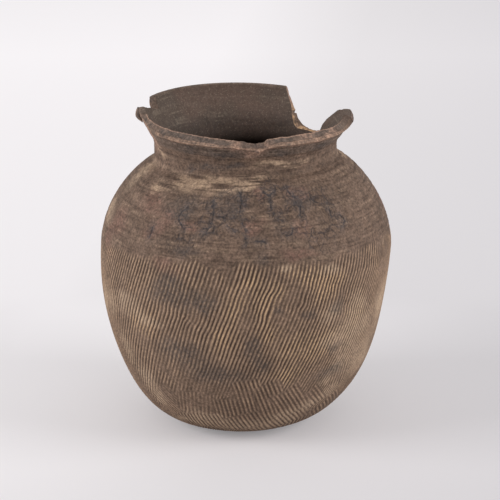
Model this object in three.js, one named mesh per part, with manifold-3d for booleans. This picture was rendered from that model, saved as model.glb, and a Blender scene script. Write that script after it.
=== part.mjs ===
// Round-bodied pottery jar, raised by hand from clay straps, with a short neck and a broken flared rim.
// Millimetres, +Z up. The jar stands on z = 0, with its resting face centred on the origin.
// The front faces -Y. Azimuths are in degrees round the jar: 0 at the front, 90 at the right (+X).
import * as THREE from 'three'
import { mergeVertices } from 'three/addons/utils/BufferGeometryUtils.js'
import Module from 'manifold-3d'

// Body, on its outer face
const restRadius = 32 // the small flat that the jar stands on
const bellyRadius = 110.5
const bellyHeight = 138
const creaseHeight = 205 // where the shoulder turns up into the neck
const bowlFlatness = 1.95 // higher keeps the bowl flatter near the rest
const bowlRoundness = 2.48 // higher fills the bowl out sooner
const shoulderFlatness = 1.86
const shoulderRoundness = 1.3 // near 1, so that the shoulder runs almost straight into the crease

// Neck and rim, on their outer face
const neckRadius = 68.7
const neckLength = 13 // the upright part above the crease
const flareRise = 23
const flareReach = 10.8 // how far the lip stands out past the neck

// Wall thickness
const baseThickness = 10
const bellyThickness = 7.5
const creaseThickness = 6.5
const lipThickness = 5
const lipRounding = 0.3 // the lip's corners are taken off by this share of its thickness

// Straps: how many courses, and the slanting faces where one is pressed onto the next
const baseDiscRise = 9 // height of the base disc's edge, where the first strap begins
const shoulderStraps = 3
const collarAboveNeck = 4 // the neck collar reaches this far into the flare
const jointLap = 8 // how far the inner edge of a joint lies beyond its outer edge, along the wall
const jointGap = 0.3

// Ribs that the grooved paddle left on the bowl
const ribPitch = 3.1
const ribDepth = 0.7 // from the crests, which lie on the outline, down to the grooves
const ribLeans = [-20, 26, 23, 19, 14] // degrees that the ribs lean to the right, on each bowl strap
const bowlStraps = ribLeans.length

// Lip strip: the band of clay laid round the outside of the rim
const stripFoot = 13 // below the lip
const stripTop = 1.8 // below the lip
const stripEdge = 0.8 // thickness at its foot and top
const stripBulge = 2.2
const stripSag = 1.25 // above 1 moves the bulge towards the top
const stripFacets = 6 // up its face, and half as many up its seat

// Built by eye: how far the jar departs from a true turned shape
const lean = 4.8 // the widest part stands this far to the right of the rest
const leanHeight = 160 // where the lean is greatest
const sway = 1.1 // below the widest part the outline wanders this far to the right, then back to the left
const creaseRise = 1.9 // the crease rides this much high on the right and low on the left
const lipRiseBack = 2.9 // the lip is this much high at the back and low at the front
const lipRiseSide = 1.6 // and this much high on the left and low on the right

// Facets
const facetsRound = 40
const facetTurn = 13 // degrees that the wall may turn within one facet up it
const wedgeTurn = 12 // degrees round the jar that one facet of a broken edge may take
const outlineSteps = 60 // points on each part of the outline

// Breaks. Each is a run of [azimuth, depth below the lip] along the broken edge
const missingSherd = [
  [92, -1], [98.5, 2.3], [105.7, 5.8], [109.4, 10.1], [112.6, 14.9], [114.8, 23.8], [119, 26.4],
  [128, 27.7], [134.5, 27.2], [139.4, 24.7], [145, 19], [149.5, 13.8], [153.8, 6.6], [156, -1],
]
const frontNotch = [[-6.5, -1], [-5, 4.6], [0.5, 6.3], [6.7, 8.3], [11.4, 5.7], [14.5, -1]]
const frontWear = [
  [-76, -1], [-73, 2.6], [-54, 3.4], [-43, 3.7], [-31, 3.3], [-21, 3.3], [-13, 4.2], [-3, 4.4],
  [14, 3.1], [20.4, 1.4], [35, 1.4], [48.7, 1.9], [56, 2.9], [66, 3.3], [79, 2.3], [80.5, -1],
]
const backChip = [[245.5, -1], [246.5, 8.6], [258, 5.2], [266, 2.2], [270, 0.6], [272, -1]]
const wearFall = 0.95 // the worn front slopes down this much for each millimetre outwards
const notchFall = 0.45
const cutterInside = 45 // the cutting wedges run between these radii
const cutterOutside = 100
const cutterRise = 20 // above the lip
const backStripEnds = [156, 246]
const leftStripEnds = [246, 274]
const frontLeftStripEnds = [-56, 6.7]
const frontRightStripEnds = [6.7, 80.5]
const rightStripEnds = [80.5, 103]

// The outline of the outer face, as points from the edge of the rest up to the lip
const neckTop = creaseHeight + neckLength
const lipHeight = neckTop + flareRise

function bowlPoint(share) {
  const z = bellyHeight * (1 - Math.cos((share * Math.PI) / 2))
  const below = (bellyHeight - z) / bellyHeight
  const swell = (1 - below ** bowlFlatness) ** (1 / bowlRoundness)
  return new THREE.Vector2(restRadius + (bellyRadius - restRadius) * swell, z)
}

function shoulderPoint(share) {
  const above = Math.sin((share * Math.PI) / 2)
  const swell = Math.max(0, 1 - above ** shoulderFlatness) ** (1 / shoulderRoundness)
  const z = bellyHeight + (creaseHeight - bellyHeight) * above
  return new THREE.Vector2(neckRadius + (bellyRadius - neckRadius) * swell, z)
}

function neckPoint(share) {
  return new THREE.Vector2(neckRadius, creaseHeight + neckLength * share)
}

function flarePoint(share) {
  const r = neckRadius + flareReach * Math.sin((share * Math.PI) / 2)
  return new THREE.Vector2(r, neckTop + flareRise * share)
}

const outline = [bowlPoint(0)]
for (const part of [bowlPoint, shoulderPoint, neckPoint, flarePoint]) {
  for (let i = 1; i <= outlineSteps; i++) outline.push(part(i / outlineSteps))
}
const along = [0] // distance up the outline to each of its points
for (let i = 1; i < outline.length; i++) along.push(along[i - 1] + outline[i].distanceTo(outline[i - 1]))
const bellyAlong = along[outlineSteps]
const creaseAlong = along[2 * outlineSteps]
const lipAlong = along[along.length - 1]

// The stretch of the outline that a distance falls in, and how far into it
function stretchAt(distance) {
  let i = 1
  while (i < along.length - 1 && along[i] < distance) i++
  return [i, (distance - along[i - 1]) / (along[i] - along[i - 1])]
}

function alongAtHeight(height) {
  let i = 1
  while (i < outline.length - 1 && outline[i].y < height) i++
  const share = (height - outline[i - 1].y) / (outline[i].y - outline[i - 1].y)
  return along[i - 1] + share * (along[i] - along[i - 1])
}

function thicknessAt(distance) {
  const marks = [0, bellyAlong, creaseAlong, lipAlong]
  const sizes = [baseThickness, bellyThickness, creaseThickness, lipThickness]
  const i = distance < bellyAlong ? 1 : distance < creaseAlong ? 2 : 3
  const share = Math.min(1, Math.max(0, (distance - marks[i - 1]) / (marks[i] - marks[i - 1])))
  return sizes[i - 1] + share * (sizes[i] - sizes[i - 1])
}

// A point at a distance up the outline and a depth into the wall; a negative depth is outside it
function wallPoint(distance, depth) {
  const [i, share] = stretchAt(distance)
  const point = outline[i - 1].clone().lerp(outline[i], share)
  const run = outline[i].clone().sub(outline[i - 1]).normalize()
  return new THREE.Vector2(point.x - run.y * depth, point.y + run.x * depth)
}

function outerPoint(distance) {
  return wallPoint(distance, 0)
}

function innerPoint(distance) {
  return wallPoint(distance, thicknessAt(distance))
}

// The outer and inner ends of the slanting face at a joint, moved off the joint's line by half the gap.
// Side 1 belongs to the piece above the joint, side -1 to the piece below.
function jointEnds(distance, side) {
  const ends = [outerPoint(distance), innerPoint(distance + jointLap)]
  const slant = ends[1].clone().sub(ends[0]).normalize()
  const off = new THREE.Vector2(slant.y, -slant.x).multiplyScalar((side * jointGap) / 2)
  return ends.map((end) => end.add(off))
}

// The direction in which the outline runs between two distances up it
function courseOf(from, to) {
  return THREE.MathUtils.radToDeg(outerPoint(to).sub(outerPoint(from)).angle())
}

// How many facets a stretch of the wall needs, by how far it turns from its one end to its other
function facetsUp(from, to) {
  const tip = (to - from) / outlineSteps
  const turn = Math.abs(courseOf(to - tip, to) - courseOf(from, from + tip))
  return Math.max(1, Math.ceil(turn / facetTurn))
}

function evenPoints(from, to, steps, pointAt) {
  return Array.from({ length: steps + 1 }, (_, i) => pointAt(from + ((to - from) * i) / steps))
}

// The same, without the two end points
function between(from, to, steps, pointAt) {
  return evenPoints(from, to, steps, pointAt).slice(1, -1)
}

// Cross-sections, each as a list of [radius, height] points

function strapProfile(from, to) {
  const [lowOuter, lowInner] = jointEnds(from, 1)
  const [highOuter, highInner] = jointEnds(to, -1)
  const steps = facetsUp(from, to)
  const outer = between(from, to, steps, outerPoint)
  const inner = between(to + jointLap, from + jointLap, steps, innerPoint)
  return [lowOuter, ...outer, highOuter, highInner, ...inner, lowInner, lowOuter]
}

function baseProfile(to) {
  const [highOuter, highInner] = jointEnds(to, -1)
  const steps = facetsUp(0, to + jointLap)
  const outer = [outerPoint(0), ...between(0, to, steps, outerPoint)]
  const inner = [...between(to + jointLap, 0, steps, innerPoint), innerPoint(0)]
  const floor = new THREE.Vector2(0, baseThickness)
  return [new THREE.Vector2(0, 0), ...outer, highOuter, highInner, ...inner, floor]
}

function rimProfile(from) {
  const [lowOuter, lowInner] = jointEnds(from, 1)
  const corner = lipThickness * lipRounding
  const top = lipAlong - corner
  const steps = facetsUp(from, top)
  const outer = [...between(from, top, steps, outerPoint), outerPoint(top)]
  const inner = [innerPoint(top), ...between(top, from + jointLap, steps, innerPoint)]
  const crown = [wallPoint(lipAlong, corner), wallPoint(lipAlong, lipThickness - corner)]
  return [lowOuter, ...outer, ...crown, ...inner, lowInner, lowOuter]
}

function stripProfile() {
  const foot = alongAtHeight(lipHeight - stripFoot)
  const top = alongAtHeight(lipHeight - stripTop)
  const seat = evenPoints(top, foot, stripFacets / 2, (distance) => wallPoint(distance, -jointGap))
  const face = evenPoints(0, 1, stripFacets, (share) => {
    const bulge = stripEdge + stripBulge * Math.sin(Math.PI * share ** stripSag)
    return wallPoint(foot + (top - foot) * share, -jointGap - bulge)
  })
  return [...face, ...seat, face[0]]
}

// Solids

const manifold = await Module()
manifold.setup()

function closed(geometry) {
  geometry.deleteAttribute('normal')
  geometry.deleteAttribute('uv')
  return mergeVertices(geometry)
}

// The corners of a smooth ring lie as far outside its true circle as the middles of its facets lie inside
function cornersOf({ x, y }) {
  return new THREE.Vector2((2 * x) / (1 + Math.cos(Math.PI / facetsRound)), y)
}

// Turns a cross-section round the jar's axis
function turned(profile) {
  return closed(new THREE.LatheGeometry(profile.map(cornersOf), facetsRound)).rotateX(Math.PI / 2)
}

function toSolid(geometry) {
  return new manifold.Manifold(new manifold.Mesh({
    numProp: 3,
    vertProperties: new Float32Array(geometry.attributes.position.array),
    triVerts: new Uint32Array(geometry.index.array),
  }))
}

function fromSolid(solid) {
  const mesh = solid.getMesh()
  const geometry = new THREE.BufferGeometry()
  geometry.setAttribute('position', new THREE.BufferAttribute(new Float32Array(mesh.vertProperties), 3))
  geometry.setIndex(new THREE.BufferAttribute(new Uint32Array(mesh.triVerts), 1))
  return geometry
}

// A wedge over a run of azimuths. Its floor is [azimuth, depth below the lip] at the lip's inner
// radius and falls outwards; its ceiling is above the jar.
function wedge(floor, fall) {
  const lipInnerRadius = neckRadius + flareReach - lipThickness
  const ceiling = lipHeight + cutterRise + fall * (cutterOutside - cutterInside)
  const corners = []
  for (const [azimuth, depth] of floor) {
    const angle = THREE.MathUtils.degToRad(azimuth)
    const level = (r) => lipHeight - depth - fall * (r - lipInnerRadius)
    for (const [r, z] of [
      [cutterInside, level(cutterInside)],
      [cutterOutside, level(cutterOutside)],
      [cutterOutside, ceiling],
      [cutterInside, ceiling],
    ]) corners.push(r * Math.sin(angle), -r * Math.cos(angle), z)
  }
  const faces = [0, 1, 2, 0, 2, 3]
  for (let column = 0; column < floor.length - 1; column++) {
    for (let side = 0; side < 4; side++) {
      const a = 4 * column + side
      const b = 4 * column + ((side + 1) % 4)
      faces.push(a, a + 4, b + 4, a, b + 4, b)
    }
  }
  const end = 4 * (floor.length - 1)
  faces.push(end, end + 2, end + 1, end, end + 3, end + 2)
  const geometry = new THREE.BufferGeometry()
  geometry.setAttribute('position', new THREE.Float32BufferAttribute(corners, 3))
  geometry.setIndex(faces)
  return toSolid(geometry)
}

// Splits long runs between azimuths, so that the wedge stays clear of the jar's axis
function finer(floor) {
  const points = [floor[0]]
  for (let i = 1; i < floor.length; i++) {
    const [[a0, d0], [a1, d1]] = [floor[i - 1], floor[i]]
    const pieces = Math.ceil((a1 - a0) / wedgeTurn)
    for (let k = 1; k <= pieces; k++) {
      points.push([a0 + ((a1 - a0) * k) / pieces, d0 + ((d1 - d0) * k) / pieces])
    }
  }
  return points
}

const sherdWedge = wedge(finer(missingSherd), 0)
const wearWedge = wedge(finer(frontWear), wearFall)
const notchWedge = wedge(frontNotch, notchFall)
const chipWedge = wedge(finer(backChip), 0)

function cut(solid, ...wedges) {
  return wedges.reduce((left, tool) => left.subtract(tool), solid)
}

const stripRing = cut(toSolid(turned(stripProfile())), sherdWedge, chipWedge)

// The length of the lip strip between two azimuths, short of each by half a gap
function stripLength([from, to]) {
  const halfGap = THREE.MathUtils.radToDeg(jointGap / 2 / neckRadius)
  const floor = [[from + halfGap, flareRise], [to - halfGap, flareRise]]
  return stripRing.intersect(wedge(finer(floor), 0))
}

// Ribbed straps. Each is a run of rings of points, from ring to ring up the outer face, across the
// joint, down the inner face and back across the other joint.

function ring(count, turn, pointAt) {
  return Array.from({ length: count }, (_, i) => {
    const { x: radius, y: height } = pointAt(i)
    const angle = turn + (2 * Math.PI * i) / count
    return { angle, point: [radius * Math.sin(angle), -radius * Math.cos(angle), height] }
  })
}

// Every second point of a ribbed ring lies in a groove
function ribbedRing(ribs, turn, crest, groove) {
  return ring(2 * ribs, turn, (i) => (i % 2 ? groove : crest))
}

// Joins two rings of as many points, point to point, so that crests and grooves run on
function bandBetween(low, high, faces) {
  const count = low.length
  for (let i = 0; i < count; i++) {
    const next = (i + 1) % count
    const [a, b, c, d] = [low[i], low[next], high[next], high[i]].map((corner) => corner.index)
    faces.push(a, b, c, a, c, d)
  }
}

// Joins two rings of different counts: walks round both and steps on where the next point is nearer
function weaveBetween(low, high, faces) {
  const whole = 2 * Math.PI
  const turnTo = (from, to) => ((((to - from + Math.PI) % whole) + whole) % whole) - Math.PI
  const start = low[0].angle
  const offsets = high.map((corner) => Math.abs(turnTo(start, corner.angle)))
  const first = offsets.indexOf(Math.min(...offsets))
  const lowAngle = (i) => (whole * i) / low.length
  const highAngle = (j) => turnTo(start, high[first].angle) + (whole * j) / high.length
  let [i, j] = [0, 0]
  while (i < low.length || j < high.length) {
    const a = low[i % low.length].index
    const b = high[(first + j) % high.length].index
    if (j >= high.length || (i < low.length && lowAngle(i + 1) <= highAngle(j + 1))) {
      i++
      faces.push(a, low[i % low.length].index, b)
    } else {
      j++
      faces.push(a, high[(first + j) % high.length].index, b)
    }
  }
}

function ribbedStrap(from, to, leanDegrees) {
  const middle = outerPoint((from + to) / 2).x
  const ribs = Math.round((2 * Math.PI * middle) / ribPitch)
  const slope = Math.tan(THREE.MathUtils.degToRad(leanDegrees))
  const steps = facetsUp(from, to)
  const rings = []
  const addEnd = (distance, side, turn) => {
    const [outer, inner] = jointEnds(distance, side)
    const groove = outer.clone().lerp(inner, ribDepth / thicknessAt(distance))
    rings.push(ribbedRing(ribs, turn, outer, groove))
  }
  const step = (to - from) / steps
  const turnUp = (slope * step) / middle
  addEnd(from, 1, 0)
  for (let k = 1; k < steps; k++) {
    const distance = from + step * k
    rings.push(ribbedRing(ribs, turnUp * k, outerPoint(distance), wallPoint(distance, ribDepth)))
  }
  addEnd(to, -1, turnUp * steps)
  const lowInner = jointEnds(from, 1)[1]
  const highInner = jointEnds(to, -1)[1]
  const inside = [highInner, ...between(to + jointLap, from + jointLap, steps, innerPoint), lowInner]
  for (const point of inside) rings.push(ring(facetsRound, 0, () => cornersOf(point)))

  const corners = rings.flat()
  corners.forEach((corner, index) => { corner.index = index })
  const faces = []
  rings.forEach((low, k) => {
    const high = rings[(k + 1) % rings.length]
    if (low.length === high.length) bandBetween(low, high, faces)
    else weaveBetween(low, high, faces)
  })
  const geometry = new THREE.BufferGeometry()
  const places = corners.flatMap((corner) => corner.point)
  geometry.setAttribute('position', new THREE.Float32BufferAttribute(places, 3))
  geometry.setIndex(faces)
  return geometry
}

// The jar

const jar = new THREE.Group()

// Moves each point from the true turned shape to where the potter's hand left it
function settle(geometry) {
  const place = geometry.attributes.position
  for (let i = 0; i < place.count; i++) {
    const [x, y, z] = [place.getX(i), place.getY(i), place.getZ(i)]
    const upShoulder = THREE.MathUtils.clamp((z - bellyHeight) / (creaseHeight - bellyHeight), 0, 1)
    const upRim = THREE.MathUtils.clamp((z - creaseHeight) / (lipHeight - creaseHeight), 0, 1)
    const creaseShare = upShoulder ** 2 * (1 - upRim)
    const towardsRight = (creaseRise * creaseShare - lipRiseSide * upRim) / neckRadius
    const towardsBack = (lipRiseBack * upRim) / neckRadius
    const wander = sway * Math.sin((2 * Math.PI * Math.min(z, bellyHeight)) / bellyHeight)
    place.setX(i, x + lean * Math.sin((Math.PI * z) / (2 * leanHeight)) + wander)
    place.setZ(i, z + towardsRight * x + towardsBack * y)
  }
}

function addPiece(name, geometry, color) {
  settle(geometry)
  geometry.computeVertexNormals()
  const material = new THREE.MeshStandardMaterial({ color, roughness: 0.9, metalness: 0 })
  const mesh = new THREE.Mesh(geometry, material)
  mesh.name = name
  jar.add(mesh)
}

const bodyColor = '#6b574a'
const shoulderColor = '#6a564c'
const neckColor = '#66544b'
const rimColor = '#5c4d45'
const brokenColor = '#8d6a55'

const firstJoint = alongAtHeight(baseDiscRise)
addPiece('base_disc', turned(baseProfile(firstJoint)), bodyColor)

function addStraps(name, count, from, to, color, strapBetween) {
  for (let i = 0; i < count; i++) {
    const low = from + ((to - from) * i) / count
    const high = from + ((to - from) * (i + 1)) / count
    addPiece(`${name}_${i + 1}`, strapBetween(low, high, i), color)
  }
}

const beaten = (low, high, i) => ribbedStrap(low, high, ribLeans[i])
const wiped = (low, high) => turned(strapProfile(low, high))
addStraps('bowl_strap', bowlStraps, firstJoint, bellyAlong, bodyColor, beaten)
addStraps('shoulder_strap', shoulderStraps, bellyAlong, creaseAlong, shoulderColor, wiped)

const rimJoint = alongAtHeight(neckTop + collarAboveNeck)
const collar = toSolid(turned(strapProfile(creaseAlong, rimJoint)))
const rim = toSolid(turned(rimProfile(rimJoint)))
addPiece('neck_collar', fromSolid(cut(collar, sherdWedge)), neckColor)
addPiece('rim_flare', fromSolid(cut(rim, sherdWedge, wearWedge, notchWedge, chipWedge)), rimColor)

addPiece('lip_strip_back', fromSolid(stripLength(backStripEnds)), rimColor)
addPiece('lip_strip_left', fromSolid(stripLength(leftStripEnds)), rimColor)
addPiece('lip_strip_right', fromSolid(stripLength(rightStripEnds)), rimColor)
const frontLeft = cut(stripLength(frontLeftStripEnds), wearWedge, notchWedge)
const frontRight = cut(stripLength(frontRightStripEnds), wearWedge, notchWedge)
addPiece('lip_strip_front_left', fromSolid(frontLeft), brokenColor)
addPiece('lip_strip_front_right', fromSolid(frontRight), brokenColor)

export default jar
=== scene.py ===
# %% [markdown]
# # A hand-built pottery jar
# This jar was raised from straps of clay, each pressed onto the one below. The lower part was
# beaten with a carved paddle, which left ribs all over it. The shoulder was wiped smooth by hand,
# the neck stands up for a finger's width, and the rim flares out and is broken.
#
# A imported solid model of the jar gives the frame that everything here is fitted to. Each solid is
# replaced by a finer surface, worked out with numpy from the same outline, which carries the marks
# of the paddle, the hand and the fire. All lengths are in metres.

# %% Load the frame
import math
from collections import namedtuple

import bpy
import numpy as np
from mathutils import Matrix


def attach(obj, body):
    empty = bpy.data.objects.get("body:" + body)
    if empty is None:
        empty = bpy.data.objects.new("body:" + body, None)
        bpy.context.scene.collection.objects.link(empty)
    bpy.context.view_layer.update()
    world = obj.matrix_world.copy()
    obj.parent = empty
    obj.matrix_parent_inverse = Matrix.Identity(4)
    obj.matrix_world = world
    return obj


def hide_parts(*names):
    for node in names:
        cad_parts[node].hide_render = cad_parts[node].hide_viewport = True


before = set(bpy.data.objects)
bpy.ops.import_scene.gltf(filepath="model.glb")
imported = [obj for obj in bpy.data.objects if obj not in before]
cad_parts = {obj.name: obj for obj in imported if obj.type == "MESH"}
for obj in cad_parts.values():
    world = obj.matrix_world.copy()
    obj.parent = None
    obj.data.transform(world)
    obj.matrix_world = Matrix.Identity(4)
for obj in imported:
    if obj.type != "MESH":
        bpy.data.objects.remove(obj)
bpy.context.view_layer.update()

MM = 0.001
FINE = 1.0  # share of the full number of rows and columns

# %% [markdown]
# ## The camera
# The jar is seen from a little above, through a long lens, so that it looks almost as it would
# from far away. The camera looks down by 17 degrees at a point half-way up the jar.

# %% Camera
LOOK_DOWN = math.radians(17)
CAMERA_AWAY = 1.5
LOOK_AT = (0.0076, 0.0, 0.1302)
LENS = 141.55  # millimetres, on a sensor 36 mm wide


def add_camera():
    """Stands the camera back from the point it looks at, up the line that falls at its angle."""
    lens = bpy.data.cameras.new("camera")
    lens.lens = LENS
    lens.sensor_width = 36
    camera = bpy.data.objects.new("camera", lens)
    bpy.context.scene.collection.objects.link(camera)
    back = CAMERA_AWAY * math.cos(LOOK_DOWN)
    up = CAMERA_AWAY * math.sin(LOOK_DOWN)
    camera.location = (LOOK_AT[0], LOOK_AT[1] - back, LOOK_AT[2] + up)
    camera.rotation_euler = (math.pi / 2 - LOOK_DOWN, 0, 0)
    bpy.context.scene.camera = camera
    return camera


camera = add_camera()
print("camera at", [round(v, 4) for v in camera.location])

# %% [markdown]
# ## Floor and light
# The jar stands on a wide sheet of pale paper. A pale sky lights it from all round, and two large
# soft lamps, one at each side, bring out its relief without dark sides. The paper's colour is a
# little darker towards the right, as painted shade for light that falls off away from the left.
# Far off, where the lamps no longer reach, it glows a little for the camera alone, so that the
# background stays pale and no more light falls on the jar.

# %% Shader helpers


def new_material(name):
    """Starts a material with only its surface shader, and returns its nodes, links and shader."""
    material = bpy.data.materials.new(name)
    material.use_nodes = True
    nodes = material.node_tree.nodes
    return material, nodes, material.node_tree.links, nodes["Principled BSDF"]


def ramp(nodes, *stops):
    """A colour ramp from (place, colour) stops."""
    node = nodes.new("ShaderNodeValToRGB")
    while len(node.color_ramp.elements) < len(stops):
        node.color_ramp.elements.new(0.5)
    for element, (place, color) in zip(node.color_ramp.elements, stops):
        element.position = place
        element.color = (*color, 1)
    return node


def worked_out(nodes, links, operation, *given):
    """The sum or product of two sockets or numbers."""
    node = nodes.new("ShaderNodeMath")
    node.operation = operation
    for socket, one in zip(node.inputs, given):
        if isinstance(one, (int, float)):
            socket.default_value = one
        else:
            links.new(one, socket)
    return node.outputs["Value"]


def stretched(nodes, links, value, low, high, bottom=0.0, top=1.0):
    """Stretches a value so that low gives the bottom and high gives the top, clamped."""
    node = nodes.new("ShaderNodeMapRange")
    node.inputs["From Min"].default_value = low
    node.inputs["From Max"].default_value = high
    node.inputs["To Min"].default_value = bottom
    node.inputs["To Max"].default_value = top
    links.new(value, node.inputs["Value"])
    return node.outputs["Result"]


# %% Floor
FLOOR_HALF = 4.0
# painted shade: the paper's colours darken from the left to the right
FLOOR_LEFT = (0.705, 0.682, 0.696)
FLOOR_MIDDLE = (0.605, 0.585, 0.598)
FLOOR_RIGHT = (0.57, 0.551, 0.568)
PAPER_DIRECTION = (-1, 0.12, 0)
PAPER_BLEND = (-0.22, 0.8)  # the paper's colours are spread between these distances
FAR_GLOW, FAR_REACH = 0.60, (-0.7, 1.4)  # the glow behind the jar, and where it starts and ends
NEAR_GLOW, NEAR_REACH = 0.17, (0.32, 0.08)  # the glow round the foot, growing inwards


def add_floor():
    """A flat square sheet. Its colour is blended from left to right, and its glow grows
    from none well in front of the jar to the most far behind it, with a little more close by."""
    h = FLOOR_HALF
    mesh = bpy.data.meshes.new("floor")
    mesh.from_pydata([(-h, -h, 0), (h, -h, 0), (h, h, 0), (-h, h, 0)], [], [(0, 1, 2, 3)])
    floor = bpy.data.objects.new("floor", mesh)
    bpy.context.scene.collection.objects.link(floor)
    material, nodes, links, surface = new_material("floor_paper")
    where = nodes.new("ShaderNodeTexCoord").outputs["Object"]

    def measure(operation, direction=(0, 0, 0)):
        """How far a spot lies in a direction, or its distance from the middle of the sheet."""
        node = nodes.new("ShaderNodeVectorMath")
        node.operation = operation
        node.inputs[1].default_value = direction
        links.new(where, node.inputs[0])
        return node.outputs["Value"]

    blend = ramp(nodes, (0, FLOOR_RIGHT), (0.22, FLOOR_MIDDLE), (0.42, FLOOR_LEFT), (1, FLOOR_LEFT))
    across = stretched(nodes, links, measure("DOT_PRODUCT", PAPER_DIRECTION), *PAPER_BLEND)
    links.new(across, blend.inputs["Fac"])
    links.new(blend.outputs["Color"], surface.inputs["Base Color"])
    surface.inputs["Roughness"].default_value = 0.9
    far = stretched(nodes, links, measure("DOT_PRODUCT", (0, 1, 0)), *FAR_REACH, 0, FAR_GLOW)
    near = stretched(nodes, links, measure("LENGTH"), *NEAR_REACH, 0, NEAR_GLOW)
    seen = nodes.new("ShaderNodeLightPath").outputs["Is Camera Ray"]
    glow = worked_out(nodes, links, "ADD", far, near)
    glow = worked_out(nodes, links, "MULTIPLY", glow, seen)
    links.new(glow, surface.inputs["Emission Strength"])
    links.new(blend.outputs["Color"], surface.inputs["Emission Color"])
    mesh.materials.append(material)
    return floor


floor = add_floor()
print("floor", floor.dimensions[:2])

# %% Light
WORLD_LEVEL = 0.54
LAMP_WATTS = 23
LAMP_SIZE = 1.1
LAMP_PLACES = [(-1.75, -0.5, 0.9), (1.75, -0.5, 0.9)]


def add_light():
    """A pale even sky, and two large square lamps, each turned to face the middle of the jar."""
    world = bpy.data.worlds.new("studio")
    bpy.context.scene.world = world
    world.use_nodes = True
    sky = world.node_tree.nodes["Background"]
    sky.inputs["Color"].default_value = (1, 1, 1, 1)
    sky.inputs["Strength"].default_value = WORLD_LEVEL
    for k, spot in enumerate(LAMP_PLACES):
        lamp = bpy.data.lights.new(f"soft_lamp_{k + 1}", "AREA")
        lamp.size = LAMP_SIZE
        lamp.energy = LAMP_WATTS
        stand = bpy.data.objects.new(lamp.name, lamp)
        bpy.context.scene.collection.objects.link(stand)
        stand.location = spot
        aim = stand.location.copy()
        aim.z -= LOOK_AT[2]
        stand.rotation_euler = aim.to_track_quat("Z", "Y").to_euler()


add_light()
bpy.context.scene.view_settings.view_transform = "Standard"
print("sky", WORLD_LEVEL, "lamps", LAMP_WATTS, "W each")

# %% [markdown]
# ## The wall as one surface
# Every piece of the jar is a stretch of one wall. A point of the wall has three numbers: its
# azimuth round the jar, its distance up the outline from the edge of the rest, and its depth in
# from the outer face. One function turns the three into a place, so pieces that share a joint
# share its points exactly, and no seam can open between them.

# %% Outline
REST_RADIUS = 0.032
BELLY_RADIUS = 0.1105
BELLY_HEIGHT = 0.138
CREASE_HEIGHT = 0.205
BOWL_FLATNESS, BOWL_ROUNDNESS = 1.95, 2.48
SHOULDER_FLATNESS, SHOULDER_ROUNDNESS = 1.86, 1.3
NECK_RADIUS = 0.0687
NECK_TOP = 0.218
FLARE_RISE = 0.023
FLARE_REACH = 0.0108
LIP_HEIGHT = NECK_TOP + FLARE_RISE
OUTLINE_STEPS = 400
STEP = 0.00025  # between the points of the finished outline
CORNER_WIDTH = 0.0022  # the outline's corners are evened out over this width
TURN_WIDTH = 0.0015  # and so is the way it faces
WALL = (0.010, 0.0075, 0.0065, 0.005)  # thickness at the base, the belly, the crease and the lip


def outline():
    """Radius and height of the outer face from the rest to the lip. The bowl and the shoulder are
    each a superellipse, the neck is upright, and the flare follows a quarter of a sine wave."""
    share = np.linspace(0, 1, OUTLINE_STEPS)
    bowl_z = BELLY_HEIGHT * (1 - np.cos(share * math.pi / 2))
    below = 1 - bowl_z / BELLY_HEIGHT
    bowl_swell = (1 - below**BOWL_FLATNESS) ** (1 / BOWL_ROUNDNESS)
    bowl_r = REST_RADIUS + (BELLY_RADIUS - REST_RADIUS) * bowl_swell
    above = np.sin(share * math.pi / 2)
    shoulder_z = BELLY_HEIGHT + (CREASE_HEIGHT - BELLY_HEIGHT) * above
    swell = np.maximum(0, 1 - above**SHOULDER_FLATNESS) ** (1 / SHOULDER_ROUNDNESS)
    shoulder_r = NECK_RADIUS + (BELLY_RADIUS - NECK_RADIUS) * swell
    neck_z = CREASE_HEIGHT + (NECK_TOP - CREASE_HEIGHT) * share
    neck_r = np.full_like(neck_z, NECK_RADIUS)
    flare_z = NECK_TOP + FLARE_RISE * share
    flare_r = NECK_RADIUS + FLARE_REACH * np.sin(share * math.pi / 2)
    radius = np.concatenate([bowl_r, shoulder_r[1:], neck_r[1:], flare_r[1:]])
    height = np.concatenate([bowl_z, shoulder_z[1:], neck_z[1:], flare_z[1:]])
    return radius, height


def soften(values, steps, width):
    """Values evened out by a moving bell-shaped average, with both ends carried straight on."""
    reach = int(4 * width / steps)
    bell = np.exp(-0.5 * (np.arange(-reach, reach + 1) * steps / width) ** 2)
    before = 2 * values[0] - values[1 : reach + 1][::-1]
    after = 2 * values[-1] - values[-reach - 1 : -1][::-1]
    return np.convolve(np.concatenate([before, values, after]), bell / bell.sum(), "valid")


raw_radius, raw_height = outline()
raw_along = np.concatenate([[0], np.cumsum(np.hypot(np.diff(raw_radius), np.diff(raw_height)))])
LIP = raw_along[-1]
ALONG = np.linspace(0, LIP, int(LIP / STEP))
RADIUS = soften(np.interp(ALONG, raw_along, raw_radius), STEP, CORNER_WIDTH)
HEIGHT = soften(np.interp(ALONG, raw_along, raw_height), STEP, CORNER_WIDTH)
BELLY = raw_along[OUTLINE_STEPS - 1]
CREASE = raw_along[2 * (OUTLINE_STEPS - 1)]
slope_r = np.gradient(RADIUS, ALONG)
slope_z = np.gradient(HEIGHT, ALONG)
slope = np.hypot(slope_r, slope_z)
OUT_R = soften(slope_z / slope, STEP, TURN_WIDTH)
OUT_Z = soften(-slope_r / slope, STEP, TURN_WIDTH)
print("outline is", round(LIP / MM, 1), "mm long, belly at", round(BELLY / MM, 1))


def along_at(height):
    """Distance up the outline at a height."""
    return float(np.interp(height, raw_height, raw_along))


def thickness(along):
    """The wall thins from the base to the belly, the crease and the lip, evenly between them."""
    return np.interp(along, [0, BELLY, CREASE, LIP], WALL)


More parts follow.
